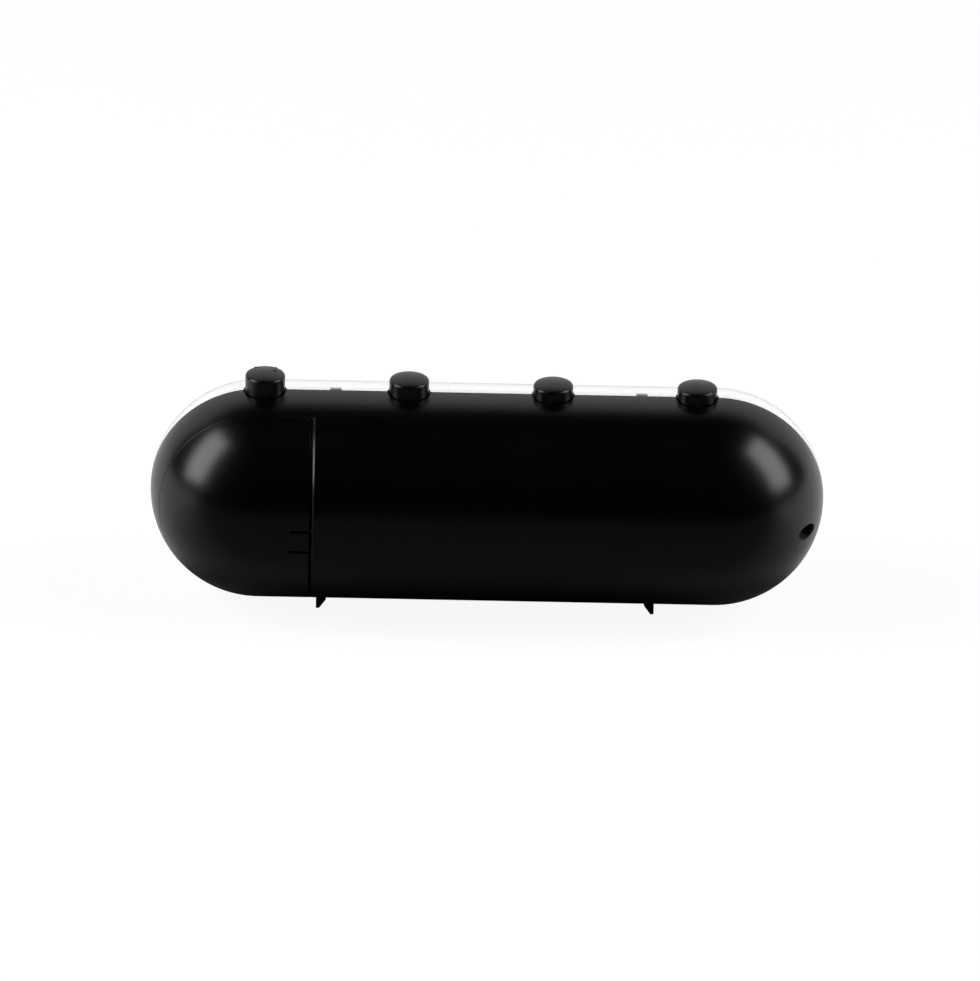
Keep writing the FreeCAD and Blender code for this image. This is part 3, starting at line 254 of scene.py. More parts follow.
def carve(piece, bm, operation="DIFFERENCE"):
    """Cuts a closed tool out of a piece, keeps what they share, or joins them."""
    tool = piece_from("tool", bm)
    modifier = piece.modifiers.new("carve", "BOOLEAN")
    modifier.operation = operation
    modifier.solver = "EXACT"
    modifier.object = tool
    graph = bpy.context.evaluated_depsgraph_get()
    shaped = bpy.data.meshes.new_from_object(piece.evaluated_get(graph))
    piece.modifiers.clear()
    old = piece.data
    piece.data = shaped
    bpy.data.meshes.remove(old)
    bpy.data.objects.remove(tool)


def thicken(bm, faces, reach):
    """Extrudes flat faces to a closed solid."""
    raised = bmesh.ops.extrude_face_region(bm, geom=faces)
    bmesh.ops.translate(bm, vec=reach, verts=verts_of(raised["geom"]))
    bmesh.ops.recalc_face_normals(bm, faces=bm.faces)


def round_edges(bm, edges, width, segments, clamp=False):
    """Rounds some edges."""
    bmesh.ops.bevel(
        bm, geom=edges, offset=width, segments=segments, profile=0.5, affect="EDGES", material=-1, clamp_overlap=clamp
    )


def door_prism(sizes, end_gap, side_gap):
    """The region behind the battery door's outline, pulled in by the gaps, as a closed prism."""
    reach = 0.06
    right = 0.15
    corner = sizes.door_corner - side_gap
    left = sizes.door_x + end_gap
    front = sizes.door_y + side_gap
    bm = bmesh.new()
    start = bm.verts.new((left, front + corner, -reach))
    end = draw_arc(bm, start, (left + corner, front + corner, -reach), math.pi / 2, 24, (0, 0, 1))
    rest = [bm.verts.new((x, y, -reach)) for x, y in ((right, front), (right, reach), (left, reach))]
    for one, two in zip([end] + rest, rest + [start]):
        bm.edges.new((one, two))
    thicken(bm, bmesh.ops.contextual_create(bm, geom=bm.edges[:])["faces"], (0, 0, 2 * reach))
    return bm


def shell_depth(point, half):
    """Distance of a point from the capsule's spine, and the direction away from it."""
    along = max(-half, min(half, point.x))
    away = Vector((point.x - along, point.y, point.z))
    return away.length, away


def soften(piece, width):
    """Rounds a piece's sharp edges a little."""
    bm = bmesh.new()
    bm.from_mesh(piece.data)
    bmesh.ops.remove_doubles(bm, verts=bm.verts, dist=2 * TOUCH)
    bmesh.ops.dissolve_degenerate(bm, edges=bm.edges, dist=TOUCH)
    crowded = dict.fromkeys(v for e in sharp_edges(bm) for v in e.verts)
    bmesh.ops.remove_doubles(bm, verts=list(crowded), dist=width * 0.8)
    round_edges(bm, sharp_edges(bm), width, 2)
    bm.to_mesh(piece.data)
    bm.free()


def sharp_edges(bm):
    """Edges whose two faces meet at more than 40 degrees."""
    return [e for e in bm.edges if e.is_manifold and e.calc_face_angle(0) > math.radians(40)]


def lift(piece):
    """Moves a piece from the capsule's own axis to its height over the floor."""
    piece.data.transform(Matrix.Translation((0, 0, AXIS_Z)))


def smooth_case(piece, sizes, radii):
    """Gives a case piece the capsule's exact normals where it lies on one of the given radii."""
    smooth_by_angle(piece)
    mesh = piece.data
    normals = [n.vector.copy() for n in mesh.corner_normals]
    depths = [shell_depth(v.co, sizes.half_straight) for v in mesh.vertices]
    for face in mesh.polygons:
        for radius, sign in radii:
            if all(abs(depths[v][0] - radius) < ON_WALL for v in face.vertices):
                for loop, vert in zip(face.loop_indices, face.vertices):
                    normals[loop] = depths[vert][1].normalized() * sign
    mesh.normals_split_custom_set([tuple(n) for n in normals])


def smooth_by_angle(piece, limit=30):
    """Smooth shading with sharp edges kept."""
    mesh = piece.data
    mesh.polygons.foreach_set("use_smooth", [True] * len(mesh.polygons))
    mesh.set_sharp_from_angle(angle=math.radians(limit))


def copy_of(node):
    """A frame node's mesh with its split vertices joined."""
    bm = bmesh.new()
    bm.from_mesh(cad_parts[node].data)
    bmesh.ops.remove_doubles(bm, verts=bm.verts, dist=TOUCH)
    return bm


def fittings_of(name, node, sizes):
    """The inner features of a moulded node, without its outer wall, as a piece of their own."""
    bm = copy_of(node)
    centre = Vector((0, 0, AXIS_Z))
    limit = sizes.radius - sizes.wall - 2e-5
    depths = {v: shell_depth(v.co - centre, sizes.half_straight)[0] for v in bm.verts}
    wall = [f for f in bm.faces if all(depths[v] > limit for v in f.verts)]
    bmesh.ops.delete(bm, geom=wall, context="FACES")
    piece = piece_from(name, bm)
    smooth_by_angle(piece)
    return piece


def give(piece, body, finish):
    """Sets a new piece's finish and its body."""
    piece.data.materials.append(FINISHES[finish])
    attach(piece, body)


# Materials


class Wire:
    """A shader socket that can be used in a sum."""

    def __init__(self, tree, socket):
        self.tree = tree
        self.socket = socket

    def sum_with(self, other, operation, swap=False):
        node = self.tree.nodes.new("ShaderNodeMath")
        node.operation = operation
        ends = [self, other]
        if swap:
            ends.reverse()
        for port, end in zip(node.inputs, ends):
            if isinstance(end, Wire):
                self.tree.links.new(end.socket, port)
            else:
                port.default_value = end
        return Wire(self.tree, node.outputs[0])

    def __add__(self, other):
        return self.sum_with(other, "ADD")

    def __radd__(self, other):
        return self.sum_with(other, "ADD", True)

    def __sub__(self, other):
        return self.sum_with(other, "SUBTRACT")

    def __rsub__(self, other):
        return self.sum_with(other, "SUBTRACT", True)

    def __mul__(self, other):
        return self.sum_with(other, "MULTIPLY")

    def __rmul__(self, other):
        return self.sum_with(other, "MULTIPLY", True)

    def __gt__(self, other):
        return self.sum_with(other, "GREATER_THAN")

    def __lt__(self, other):
        return self.sum_with(other, "LESS_THAN")


class Finish:
    """A node material with a surface shader and a few ways to wire it."""

    def __init__(self, name):
        self.material = bpy.data.materials.new(name)
        self.material.use_nodes = True
        self.tree = self.material.node_tree
        self.tree.nodes.clear()
        self.out = self.tree.nodes.new("ShaderNodeOutputMaterial")
        FINISHES[name] = self.material

    def node(self, kind, settings=None, output=0, **values):
        """Adds a node, sets its settings first and then its sockets, and returns one output."""
        node = self.tree.nodes.new(kind)
        for key, value in (settings or {}).items():
            setattr(node, key, value)
        for key, value in values.items():
            self.put(node.inputs[key.replace("_", " ")], value)
        return Wire(self.tree, node.outputs[output])

    def put(self, socket, value):
        """Links a wire to a socket, or sets its value."""
        if isinstance(value, Wire):
            self.tree.links.new(value.socket, socket)
        else:
            socket.default_value = value

    def place(self):
        """Object coordinates."""
        return self.node("ShaderNodeTexCoord", output="Object")

    def axis(self, letter):
        """One of the object coordinates."""
        return self.node("ShaderNodeSeparateXYZ", output=letter, Vector=self.place())

    def noise(self, scale, detail=2.0, roughness=0.5, place=None):
        """A noise value between 0 and 1 on object coordinates."""
        return self.node(
            "ShaderNodeTexNoise", Vector=place or self.place(), Scale=scale, Detail=detail, Roughness=roughness
        )

    def blend(self, factor, one, two):
        """A colour between two colours."""
        node = self.tree.nodes.new("ShaderNodeMix")
        node.data_type = "RGBA"
        self.put(node.inputs[0], factor)
        self.put(node.inputs[6], one)
        self.put(node.inputs[7], two)
        return Wire(self.tree, node.outputs[2])

    def bump(self, height, distance, strength=1.0):
        """A normal from a height value."""
        return self.node("ShaderNodeBump", Height=height, Distance=distance, Strength=strength)

    def surface(self, **values):
        """The principled surface."""
        shader = self.node("ShaderNodeBsdfPrincipled", **values)
        self.tree.links.new(shader.socket, self.out.inputs["Surface"])


def rgba(value, share=1.0):
    """A colour times a share, with full alpha."""
    return (*(min(1.0, c * share) for c in value), 1.0)


def dark_moulding(name, base, roughness, specular, grain):
    """Spark-eroded black plastic: a fine even grain and a little cloudiness in the gloss."""
    finish = Finish(name)
    cloud = finish.noise(scale=38.0, detail=3.0)
    fine = finish.noise(scale=5200.0, detail=1.0, roughness=0.6)
    lighter = [c * 1.6 + 0.0002 for c in base]
    finish.surface(
        Base_Color=finish.blend(cloud, rgba(base), rgba(lighter)),
        Roughness=roughness + (cloud - 0.5) * 0.06 + (fine - 0.5) * 0.05,
        Specular_IOR_Level=specular,
        Normal=finish.bump(fine, grain, 0.35),
    )


def clear_moulding(name):
    """Polished clear plastic with a trace of flow lines in its gloss."""
    finish = Finish(name)
    flow = finish.noise(scale=60.0)
    finish.surface(
        Base_Color=finish.blend(flow, rgba([0.76] * 3), rgba([0.79] * 3)),
        Roughness=0.015 + flow * 0.02,
        IOR=1.49,
        Transmission_Weight=1.0,
    )


def smoked_plate(name):
    """Dark see-through plastic for the display window."""
    finish = Finish(name)
    haze = finish.noise(scale=90.0)
    finish.surface(
        Base_Color=finish.blend(haze, rgba((0.030, 0.031, 0.034)), rgba((0.038, 0.039, 0.042))),
        Roughness=0.03 + haze * 0.02,
        IOR=1.49,
        Transmission_Weight=0.85,
    )


def glowing_segment(name, base, strength):
    """A lit light guide with a slightly uneven glow."""
    finish = Finish(name)
    haze = finish.noise(scale=420.0)
    finish.surface(
        Base_Color=rgba(base),
        Roughness=0.4 + haze * 0.1,
        Emission_Color=finish.blend(haze, rgba(base, 0.85), rgba(base)),
        Emission_Strength=strength,
    )


def milky_moulding(name, base):
    """Unlit translucent plastic."""
    finish = Finish(name)
    haze = finish.noise(scale=260.0)
    finish.surface(
        Base_Color=finish.blend(haze, rgba(base, 0.9), rgba(base)),
        Roughness=0.38 + haze * 0.08,
    )


def solder_mask(name, base):
    """Circuit board: mask over fine copper tracks and small round pads."""
    finish = Finish(name)
    place = finish.place()
    tracks = finish.node(
        "ShaderNodeTexBrick",
        {"offset": 0.35, "squash": 1.0},
        output="Fac",
        Vector=finish.node("ShaderNodeMapping", Vector=place, Rotation=(math.pi / 2, 0.0, 0.0)),
        Scale=95.0,
        Mortar_Size=0.02,
        Mortar_Smooth=0.3,
    )
    spots = finish.node("ShaderNodeTexVoronoi", {"feature": "F1"}, Vector=place, Scale=240.0, Randomness=0.85)
    pads = spots < 0.16
    mask = finish.blend(tracks, rgba(base), rgba(base, 1.9))
    finish.surface(
        Base_Color=finish.blend(pads, mask, (0.55, 0.52, 0.46, 1.0)),
        Metallic=pads * 0.9,
        Roughness=0.42 - pads * 0.12,
        Normal=finish.bump(tracks + pads, 0.00003, 0.6),
    )


def plated_metal(name, base, roughness, stretch):
    """Drawn or turned metal with fine lines along its length."""
    finish = Finish(name)
    place = finish.node("ShaderNodeMapping", Vector=finish.place(), Scale=stretch)
    lines = finish.noise(scale=900.0, roughness=0.6, place=place)
    finish.surface(
        Base_Color=finish.blend(lines, rgba(base, 0.86), rgba(base)),
        Metallic=1.0,
        Roughness=roughness + (lines - 0.5) * 0.12,
        Normal=finish.bump(lines, 0.00001, 0.4),
    )


def plain_moulding(name, base, roughness):
    """Matt coloured plastic with a fine grain."""
    finish = Finish(name)
    fine = finish.noise(scale=3800.0, detail=1.0, roughness=0.6)
    cloud = finish.noise(scale=120.0)
    finish.surface(
        Base_Color=finish.blend(cloud, rgba(base, 0.88), rgba(base)),
        Roughness=roughness + (fine - 0.5) * 0.08,
        Normal=finish.bump(fine, 0.00001, 0.3),
    )


def cell_sleeve(name, low_z, high_z, up):
    """A battery cell's plain sleeve: dark body, one pale band and bare metal ends."""
    finish = Finish(name)
    share = (finish.axis("Z") - low_z) * (1.0 / (high_z - low_z))
    if not up:
        share = 1.0 - share
    band = share > 0.72
    metal = (share > 0.955) + (share < 0.012)
    haze = finish.noise(scale=300.0)
    dark = finish.blend(haze, rgba((0.030, 0.032, 0.036)), rgba((0.045, 0.047, 0.052)))
    sleeve = finish.blend(band, dark, rgba((0.42, 0.29, 0.12)))
    finish.surface(
        Base_Color=finish.blend(metal, sleeve, rgba((0.74, 0.73, 0.70))),
        Metallic=0.35 + metal * 0.65,
        Roughness=0.32 + haze * 0.05,
    )


# Operators


class CLOCK_OT_finishes(bpy.types.Operator):
    """Make the clock's finishes"""

    bl_idname = "clock.finishes"
    bl_label = "Make finishes"

    def execute(self, context):
        look = context.scene.clock_finishes
        dark_moulding("satin_black", look.case, roughness=0.26, specular=0.5, grain=0.000012)
        dark_moulding("button_black", look.case, roughness=0.30, specular=0.5, grain=0.000010)
        dark_moulding("matt_black", look.inner, roughness=0.55, specular=0.4, grain=0.00002)
        clear_moulding("clear_plastic")
        smoked_plate("smoked_plastic")
        glowing_segment("lit_segment", look.lit, strength=14.0)
        milky_moulding("unlit_segment", look.guide)
        solder_mask("solder_mask", look.board)
        plated_metal("nickel_strip", (0.72, 0.70, 0.66), 0.28, (1.0, 1.0, 8.0))
        plated_metal("screw_steel", (0.52, 0.52, 0.53), 0.30, (1.0, 6.0, 1.0))
        plated_metal("turned_brass", (0.78, 0.60, 0.30), 0.25, (1.0, 0.2, 1.0))
        plated_metal("drawn_can", (0.66, 0.66, 0.64), 0.24, (0.3, 1.0, 1.0))
        plain_moulding("frame_grey", (0.20, 0.20, 0.21), 0.5)
        plain_moulding("switch_body", (0.018, 0.018, 0.019), 0.45)
        plain_moulding("switch_red", (0.42, 0.045, 0.03), 0.4)
        plain_moulding("film_white", (0.50, 0.49, 0.46), 0.42)
        plain_moulding("lamp_resin", (0.70, 0.60, 0.22), 0.3)
        plain_moulding("sleeve_blue", (0.02, 0.035, 0.12), 0.35)
        for number, up in ((1, True), (2, False)):
            low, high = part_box("battery_cell_%d" % number)
            cell_sleeve("cell_sleeve_%d" % number, low.z, high.z, up)
        return {"FINISHED"}


class CLOCK_OT_rear_case(bpy.types.Operator):
    """Make the black rear half of the case"""

    bl_idname = "clock.rear_case"
    bl_label = "Rear case"

    def execute(self, context):
        sizes = context.scene.clock_case
        inner = sizes.radius - sizes.wall
        piece = piece_from("rear_case", half_shell(sizes, 1))
        carve(piece, door_prism(sizes, 0.0, 0.0))
        carve(piece, self.lip(sizes))
        carve(piece, self.holes(sizes))
        soften(piece, sizes.edge)
        smooth_case(piece, sizes, [(sizes.radius, 1), (inner, -1)])
        lift(piece)
        give(piece, "clock", "satin_black")
        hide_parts("rear_shell")
        inside = fittings_of("rear_case_fittings", "rear_shell", sizes)
        give(inside, "clock", "matt_black")
        return {"FINISHED"}

    def lip(self, sizes):
        """The sloped lip at the battery door's seam, a wedge spun about the case's axis."""
        bm = bmesh.new()
        over = 0.0001
        high = sizes.radius + over
        deep = sizes.radius - sizes.groove_depth
        start = sizes.door_x - sizes.groove_width
        end = sizes.door_x + over
        face = bm.faces.new([bm.verts.new(c) for c in ((start, 0, high), (end, 0, high), (end, 0, deep))])
        geom = face.verts[:] + face.edges[:] + [face]
        first, sweep = math.radians(-10), math.radians(-160)
        bmesh.ops.rotate(bm, cent=(0, 0, 0), matrix=Matrix.Rotation(first, 3, "X"), verts=face.verts)
        bmesh.ops.spin(bm, geom=geom, cent=(0, 0, 0), axis=(1, 0, 0), angle=sweep, steps=sizes.around)
        geom = bm.verts[:] + bm.edges[:] + bm.faces[:]
        edge = (0, sizes.door_y, 0)
        bmesh.ops.bisect_plane(bm, geom=geom, dist=1e-7, plane_co=edge, plane_no=(0, 1, 0), clear_inner=True)
        bmesh.ops.holes_fill(bm, edges=[e for e in bm.edges if e.is_boundary], sides=0)
        bmesh.ops.recalc_face_normals(bm, faces=bm.faces)
        return bm

    def holes(self, sizes):
        """Holes for the buttons, the power socket and the feet."""
        bm = bmesh.new()
        add_button_holes(bm, sizes)
        add_foot_slots(bm, sizes)
        start = (sizes.socket_x, 0.004, sizes.socket_z)
        add_rod(bm, sizes.socket_hole, start, (sizes.socket_x, FAR, sizes.socket_z))
        return bm


def add_button_holes(bm, sizes):
    """Adds upright rods where the buttons pass."""
    for node in BUTTON_NODES:
        low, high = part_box(node)
        x = (low.x + high.x) / 2
        add_rod(bm, sizes.button_hole, (x, 0, 0.02), (x, 0, FAR))


def add_foot_slots(bm, sizes):
    """Adds the room of the two feet's blades."""
    for x in (-sizes.foot_x, sizes.foot_x):
        low = (x - sizes.foot_slot, -sizes.foot_length, -FAR)
        add_block(bm, low, (x + sizes.foot_slot, sizes.foot_length, -0.026))


class CLOCK_OT_front_lens(bpy.types.Operator):
    """Make the clear front half of the case"""

    bl_idname = "clock.front_lens"
    bl_label = "Front lens"

    def execute(self, context):
        sizes = context.scene.clock_case
        inner = sizes.radius - sizes.wall
        reach = sizes.tongue_reach
        into_wall = 0.0003
        piece = piece_from("clear_front", half_shell(sizes, -1))
        ring = piece_from("ring", capsule(sizes, sizes.tongue_out))
        carve(ring, self.slab(-reach, reach), "INTERSECT")
        carve(ring, capsule(sizes, sizes.tongue_in))
        root = piece_from("root", capsule(sizes, inner + into_wall))
        carve(root, self.slab(-reach, -TOUCH), "INTERSECT")
        carve(root, capsule(sizes, sizes.tongue_in))
        carve(ring, self.taken(root), "UNION")
        carve(piece, self.taken(ring), "UNION")
        holes = bmesh.new()
        add_button_holes(holes, sizes)
        add_foot_slots(holes, sizes)
        carve(piece, holes)
        radii = [(sizes.radius, 1), (inner, -1), (sizes.tongue_in, -1), (sizes.tongue_out, 1)]
        smooth_case(piece, sizes, radii)
        lift(piece)
        give(piece, "clock", "clear_plastic")
        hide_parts("front_lens")
        return {"FINISHED"}

    def slab(self, low, high):
        """The room between two planes across the Y axis."""
        bm = bmesh.new()
        add_block(bm, (-0.2, low, -0.1), (0.2, high, 0.1))
        return bm

    def taken(self, piece):
        """A piece's mesh as a bmesh, with the piece removed."""
        bm = bmesh.new()
        bm.from_mesh(piece.data)
        bpy.data.objects.remove(piece)
        return bm


class CLOCK_OT_battery_door(bpy.types.Operator):
    """Make the battery door"""

    bl_idname = "clock.battery_door"
    bl_label = "Battery door"

    def execute(self, context):
        sizes = context.scene.clock_case
        piece = piece_from("door_cap", half_shell(sizes, 1))
        carve(piece, door_prism(sizes, sizes.door_gap, sizes.door_side_gap), "INTERSECT")
        slots = bmesh.new()
        start = sizes.door_x - 0.003
        end = sizes.door_x + sizes.door_gap + sizes.slot_length
        half = sizes.slot_width / 2
        for z in (sizes.slot_low, sizes.slot_high):
            add_block(slots, (start, 0.02, z - half), (end, 0.04, z + half))
        carve(piece, slots)
        soften(piece, sizes.edge)
        smooth_case(piece, sizes, [(sizes.radius, 1), (sizes.radius - sizes.wall, -1)])
        lift(piece)
        give(piece, "battery_lid", "satin_black")
        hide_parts("battery_door")
        inside = fittings_of("door_fittings", "battery_door", sizes)
        give(inside, "battery_lid", "matt_black")
        mark = self.mark(sizes)
        lift(mark)
        give(mark, "battery_lid", "satin_black")
        return {"FINISHED"}

    def mark(self, sizes):
        """A small raised arrowhead beside the snap tongue."""
        bm = bmesh.new()
        middle = (sizes.slot_low + sizes.slot_high) / 2
        x = sizes.door_x + sizes.slot_length + sizes.arrow_shift
        y = math.sqrt(sizes.radius ** 2 - middle ** 2)
        corners = [
            (x + sizes.arrow_length, y, middle - sizes.arrow_width),
            (x + sizes.arrow_length, y, middle + sizes.arrow_width),
            (x - sizes.arrow_length, y, middle),
        ]
        face = bm.faces.new([bm.verts.new(c) for c in corners])
        thicken(bm, [face], (0, sizes.arrow_thick, 0))
        bmesh.ops.translate(bm, vec=(0, -sizes.arrow_thick / 3, 0), verts=bm.verts)
        round_edges(bm, bm.edges[:], sizes.arrow_thick / 4, 2)
        piece = piece_from("door_arrow", bm)
        smooth_by_angle(piece)
        return piece


class CLOCK_OT_push_buttons(bpy.types.Operator):
    """Make the four push buttons"""

    bl_idname = "clock.push_buttons"
    bl_label = "Push buttons"

    def execute(self, context):
        sizes = context.scene.clock_buttons
        for number, node in enumerate(BUTTON_NODES, 1):
            low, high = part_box(node)
            piece = self.cap(sizes, low, high, "push_button_%d" % number)
            give(piece, "button_%d" % number, "button_black")
            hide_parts(node)
        bars = self.bars(sizes, low, high)
        give(bars, "button_4", "button_black")
        return {"FINISHED"}

    def cap(self, sizes, low, high, name):
        """One cap, spun from its profile, with its rims rounded."""
        x = (low.x + high.x) / 2
        top = high.z
        edge = sizes.radius - sizes.rim
        bend = (edge * edge + sizes.dome * sizes.dome) / (2 * sizes.dome)
        slope = math.asin(edge / bend)
        bm = bmesh.new()
        crown = bm.verts.new((0, 0, top))
        last = draw_arc(bm, crown, (0, 0, top - bend), slope, 12)
        middle = last.co - Vector((math.sin(slope), 0, math.cos(slope))) * sizes.rim
        last = draw_arc(bm, last, middle, math.pi / 2 - slope, 12)
        flange_low = AXIS_Z + sizes.flange_z
        flange_high = flange_low + sizes.flange_thick
        flange = sizes.radius + sizes.flange_lip
        hollow = sizes.radius - sizes.skin
        under = top - sizes.dome - sizes.skin
        stops = [
            (last.co.x, flange_high),
            (flange, flange_high),
            (flange, flange_low),
            (hollow, flange_low),
            (hollow, under),
            (sizes.stem, under),
            (sizes.stem, low.z),
            (0, low.z),
        ]
        for radius, z in stops:
            step = bm.verts.new((radius, 0, z))
            bm.edges.new((last, step))
            last = step
        turn_round(bm, (0, 0, 1), ROUND_STEPS)
        bmesh.ops.translate(bm, vec=(x, 0, 0), verts=bm.verts)
        close_up(bm)
        piece = piece_from(name, bm)
        smooth_by_angle(piece, 35)
        return piece

    def bars(self, sizes, low, high):
        """Three raised bars on the crown that mark the end button by touch."""
        bm = bmesh.new()
        x = (low.x + high.x) / 2
        edge = sizes.radius - sizes.rim
        half_length = sizes.bar_length / 2
        half_width = sizes.bar_width / 2
        for side, front in ((-1, sizes.bar_front), (-1, sizes.bar_back), (1, sizes.bar_back)):
            middle = x + side * sizes.bar_side
            far = (sizes.bar_side + half_length) ** 2 + front ** 2
            crown = high.z - sizes.dome * far / edge ** 2
            start = (middle - half_length, -front - half_width, crown - sizes.bar_height * 2)
            add_block(bm, start, (middle + half_length, -front + half_width, crown + sizes.bar_height))
        round_edges(bm, bm.edges[:], sizes.bar_height / 2, 4)
        piece = piece_from("button_bars", bm)
        smooth_by_angle(piece)
        return piece


class CLOCK_OT_display(bpy.types.Operator):
    """Make the smoked window and light the digits"""

    bl_idname = "clock.display"
    bl_label = "Display"
    LIT = {
        "0": "TULRVB",
        "1": "RV",
        "2": "TRMLB",
        "3": "TRMVB",
        "4": "UMRV",
        "5": "TUMVB",
        "6": "TUMLVB",
        "7": "TRV",
        "8": "TUMLRVB",
        "9": "TUMRVB",
    }

    def execute(self, context):
        sizes = context.scene.clock_display
        case = context.scene.clock_case
        window = self.window(sizes, case)
        lift(window)
        give(window, "clock", "smoked_plastic")
        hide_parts("display_window")
        for node, sign in zip(DIGIT_NODES, sizes.reading):
            self.digit(sizes, node, self.LIT[sign])
        self.dots(sizes)
        return {"FINISHED"}

    def window(self, sizes, case):
        """The smoked plate with a polished rounded edge."""
        bm = bmesh.new()
        half = case.half_straight
        y = sizes.window_back
        first = bm.verts.new((half, y, sizes.window_radius))
        last = draw_arc(bm, first, (half, y, 0), math.pi, 64)
        last = draw_line(bm, last, (-2 * half, 0, 0))
        last = draw_arc(bm, last, (-half, y, 0), math.pi, 64)
        bm.edges.new((last, first))
        thicken(bm, bmesh.ops.contextual_create(bm, geom=bm.edges[:])["faces"], (0, -sizes.window_thick, 0))
        front_y = y - sizes.window_thick
        front = [e for e in bm.edges if all(abs(v.co.y - front_y) < 1e-7 for v in e.verts)]
        round_edges(bm, front, sizes.window_edge, 4, True)
        piece = piece_from("smoked_window", bm)
        smooth_by_angle(piece)
        return piece

    def segment_of(self, sizes, offset):
        """The letter of the segment that a point off the digit's centre lies on."""
        rise = (sizes.digit_height - sizes.segment_width) / 2
        side = (sizes.digit_width - sizes.segment_width) / 2
        spots = {
            "T": (0, rise),
            "M": (0, 0),
            "B": (0, -rise),
            "U": (-side, rise / 2),
            "R": (side, rise / 2),
            "L": (-side, -rise / 2),
            "V": (side, -rise / 2),
        }
        return min(spots, key=lambda s: (spots[s][0] - offset[0]) ** 2 + (spots[s][1] - offset[1]) ** 2)

    def digit(self, sizes, node, lit):
        """A copy of a digit's light guide with its lit segments glowing."""
        bm = copy_of(node)
        low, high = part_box(node)
        centre = (low + high) / 2
        for part in self.loose_bars(bm, low.y + sizes.segment_depth):
            spot = sum((f.calc_center_median() for f in part), Vector()) / len(part)
            letter = self.segment_of(sizes, (spot.x - centre.x, spot.z - centre.z))
            for face in part:
                face.material_index = 1 if letter in lit else 0
        piece = self.light_guide(node + "_glow", bm)
        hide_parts(node)

    def light_guide(self, name, bm):
        """A light guide whose faces with material index 1 glow."""
        piece = piece_from(name, bm)
        smooth_by_angle(piece)
        give(piece, "clock", "unlit_segment")
        piece.data.materials.append(FINISHES["lit_segment"])
        return piece

    def loose_bars(self, bm, face_y):
        """Groups of faces in front of a plane that hang together."""
        left = {f for f in bm.faces if f.calc_center_median().y < face_y}
        groups = []
        while left:
            group = [left.pop()]
            for face in group:
                for edge in face.edges:
                    for other in edge.link_faces:
                        if other in left:
                            left.remove(other)
                            group.append(other)
            groups.append(group)
        return groups

    def dots(self, sizes):
        """The two dots between hours and minutes, both lit."""
        bm = copy_of("colon_guide")
        low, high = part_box("colon_guide")
        for face in bm.faces:
            face.material_index = 1 if face.calc_center_median().y < low.y + sizes.segment_depth else 0
        piece = self.light_guide("colon_glow", bm)
        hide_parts("colon_guide")


class CLOCK_OT_inner_parts(bpy.types.Operator):
    """Give the carried-over parts their finishes"""

    bl_idname = "clock.inner_parts"
    bl_label = "Inner parts"
    WEAR = {
        "left_foot": "satin_black",
        "right_foot": "satin_black",
        "battery_tray": "matt_black",
        "display_housing": "matt_black",
        "segment_leds": "lamp_resin",
        "main_board": "solder_mask",
        "switch_board": "solder_mask",
        "control_chip": "switch_body",
        "quartz_crystal": "drawn_can",
        "filter_capacitor": "sleeve_blue",
        "buzzer": "switch_body",
        "button_frame": "frame_grey",
        "switch_ribbon": "film_white",
        "battery_cell_1": "cell_sleeve_1",
        "battery_cell_2": "cell_sleeve_2",
        "plate_contact_1": "nickel_strip",
        "plate_contact_2": "nickel_strip",
        "spring_contact_1": "nickel_strip",
        "spring_contact_2": "nickel_strip",
        "power_socket": "switch_body",
        "socket_pin": "turned_brass",
        "board_screws": "screw_steel",
        "case_screws": "screw_steel",
    }

    def execute(self, context):
        wear = dict(self.WEAR)
        for number in range(1, 5):
            wear["switch_%d" % number] = "switch_body"
            wear["plunger_%d" % number] = "switch_red"
        for node, finish in wear.items():
            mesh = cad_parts[node].data
            mesh.materials.clear()
            mesh.materials.append(FINISHES[finish])
        return {"FINISHED"}


